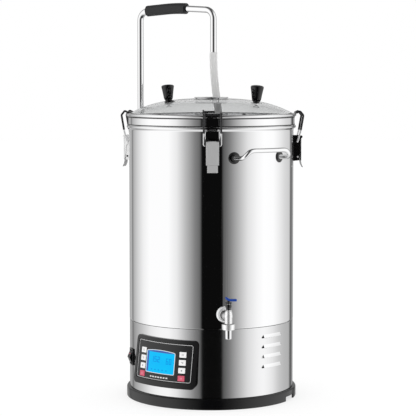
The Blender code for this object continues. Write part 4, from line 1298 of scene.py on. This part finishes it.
# Brightness of the studio by direction, in degrees from straight ahead; the photo's dark band on
# the steel is the gap between the two sides.
STUDIO_LEFT = (
    (-180, 0.4), (-160, 0.44), (-153, 0.55), (-145, 0.22), (-140, 0.48), (-126, 0.72),
    (-110, 1.0), (-96, 1.14), (-62, 1.14), (-49, 0.96), (-36, 0.57), (-23, 0.26),
    (-16, 0.16), (-13.0, 0.004),
)
STUDIO_RIGHT = (
    (14.2, 0.004), (16.2, 0.11), (25, 0.24), (39, 0.56), (52, 0.88), (67, 1.08), (78, 1.16),
    (96, 1.14), (108, 1.0), (124, 0.8), (141, 0.68), (146, 0.2), (151, 0.12), (160, 0.42),
)


def make_world():
    """A studio: black behind the camera, brighter towards the sides, greyer far behind."""
    world = bpy.data.worlds.new("studio")
    bpy.context.scene.world = world
    tree = Tree(world)
    tree.nodes.clear()
    x, y, z = tree.add("SeparateXYZ", Vector=tree.add("TexCoord").outputs["Generated"]).outputs
    turn = tree.math("ARCTAN2", x, tree.math("MULTIPLY", y, -1.0))
    ramp = tree.add("ValToRGB", Fac=tree.math("MULTIPLY_ADD", turn, 0.5 / math.pi, 0.5))
    stops = STUDIO_LEFT + STUDIO_RIGHT
    elements = ramp.color_ramp.elements
    while len(elements) < len(stops):
        elements.new(0.5)
    for element, (angle, value) in zip(elements, stops):
        element.position = 0.5 + angle / 360.0
        element.color = (value, value, value, 1.0)
    # steep reflections: pale from below, dim from above, except in the dark band
    steep = tree.span(tree.math("ABSOLUTE", z), From_Min=0.66, From_Max=0.92)
    beside = tree.math("GREATER_THAN", tree.math("ABSOLUTE", turn), math.radians(14.0))
    poles = tree.span(z, From_Min=-0.1, From_Max=0.1, To_Min=0.95, To_Max=0.12)
    shaded = tree.mix(tree.math("MULTIPLY", steep, beside), ramp.outputs["Color"], poles)
    # only reflections see the studio; everything else sees plain white
    path = tree.add("LightPath").outputs
    plain = tree.math("MAXIMUM", path["Is Camera Ray"], path["Is Transmission Ray"])
    plain = tree.math("MAXIMUM", plain, path["Is Diffuse Ray"])
    colour = tree.mix(plain, shaded, (1.0, 1.0, 1.0))
    background = tree.add("Background", Color=colour)
    tree.add("OutputWorld", Surface=background.outputs[0])
    world.cycles.sampling_method = "NONE"


UNMIRRORED = (
    "grab_rod", "flange", "wall_flange", "tap_", "stem_washer", "lever_stem", "blue_lever",
    "hose_nut", "spout_tail",
)


def quiet_reflections():
    """The handles and the tap do not mirror in the wall: the photo's studio hid them."""
    for obj in bpy.data.objects:
        if obj.name.startswith(UNMIRRORED):
            obj.visible_glossy = False


def make_floor():
    """A pale floor, lit evenly, that shows only the object's soft contact shadow."""
    bm = bmesh.new()
    bmesh.ops.create_circle(bm, cap_ends=True, radius=12000, segments=96)
    bm.transform(Matrix.Translation((0, 0, -0.2)))
    finish = make_finish(
        "floor", (0.9, 0.9, 0.9), Roughness=0.9, Specular_IOR_Level=0.0,
        tint=((3.0,), (0.34, 0.34, 0.34), (0.36, 0.36, 0.36)),
        Emission_Color=(1.0, 1.0, 1.0, 1.0), Emission_Strength=0.7,
    )
    floor = place("floor", bm, finish)
    floor.visible_glossy = False


CAMERA_PLACE = (-0.0065, -3.2, 0.6302)
CAMERA_PITCH = 86.5
CAMERA_LENS = 142.1
CAMERA_SHIFT = -0.0843


def make_camera():
    camera = bpy.data.cameras.new("camera")
    camera.lens = CAMERA_LENS
    camera.sensor_width = 36.0
    camera.shift_y = CAMERA_SHIFT
    camera.clip_end = 100.0
    holder = bpy.data.objects.new("camera", camera)
    holder.location = CAMERA_PLACE
    holder.rotation_euler = (math.radians(CAMERA_PITCH), 0.0, 0.0)
    bpy.context.collection.objects.link(holder)
    bpy.context.scene.camera = holder
    bpy.context.scene.view_settings.view_transform = "Standard"


make_camera()
make_arm()
make_world()
make_floor()
make_vessel()
make_base()
make_malt_pipe()
make_lid()
for side, azimuth in LATCHES.items():
    make_latch(side, azimuth)
for side, azimuth in HANDLES.items():
    make_handle(side, azimuth)
make_tap()
make_riser()
make_controller()
make_switch()
repaint_hidden()
quiet_reflections()
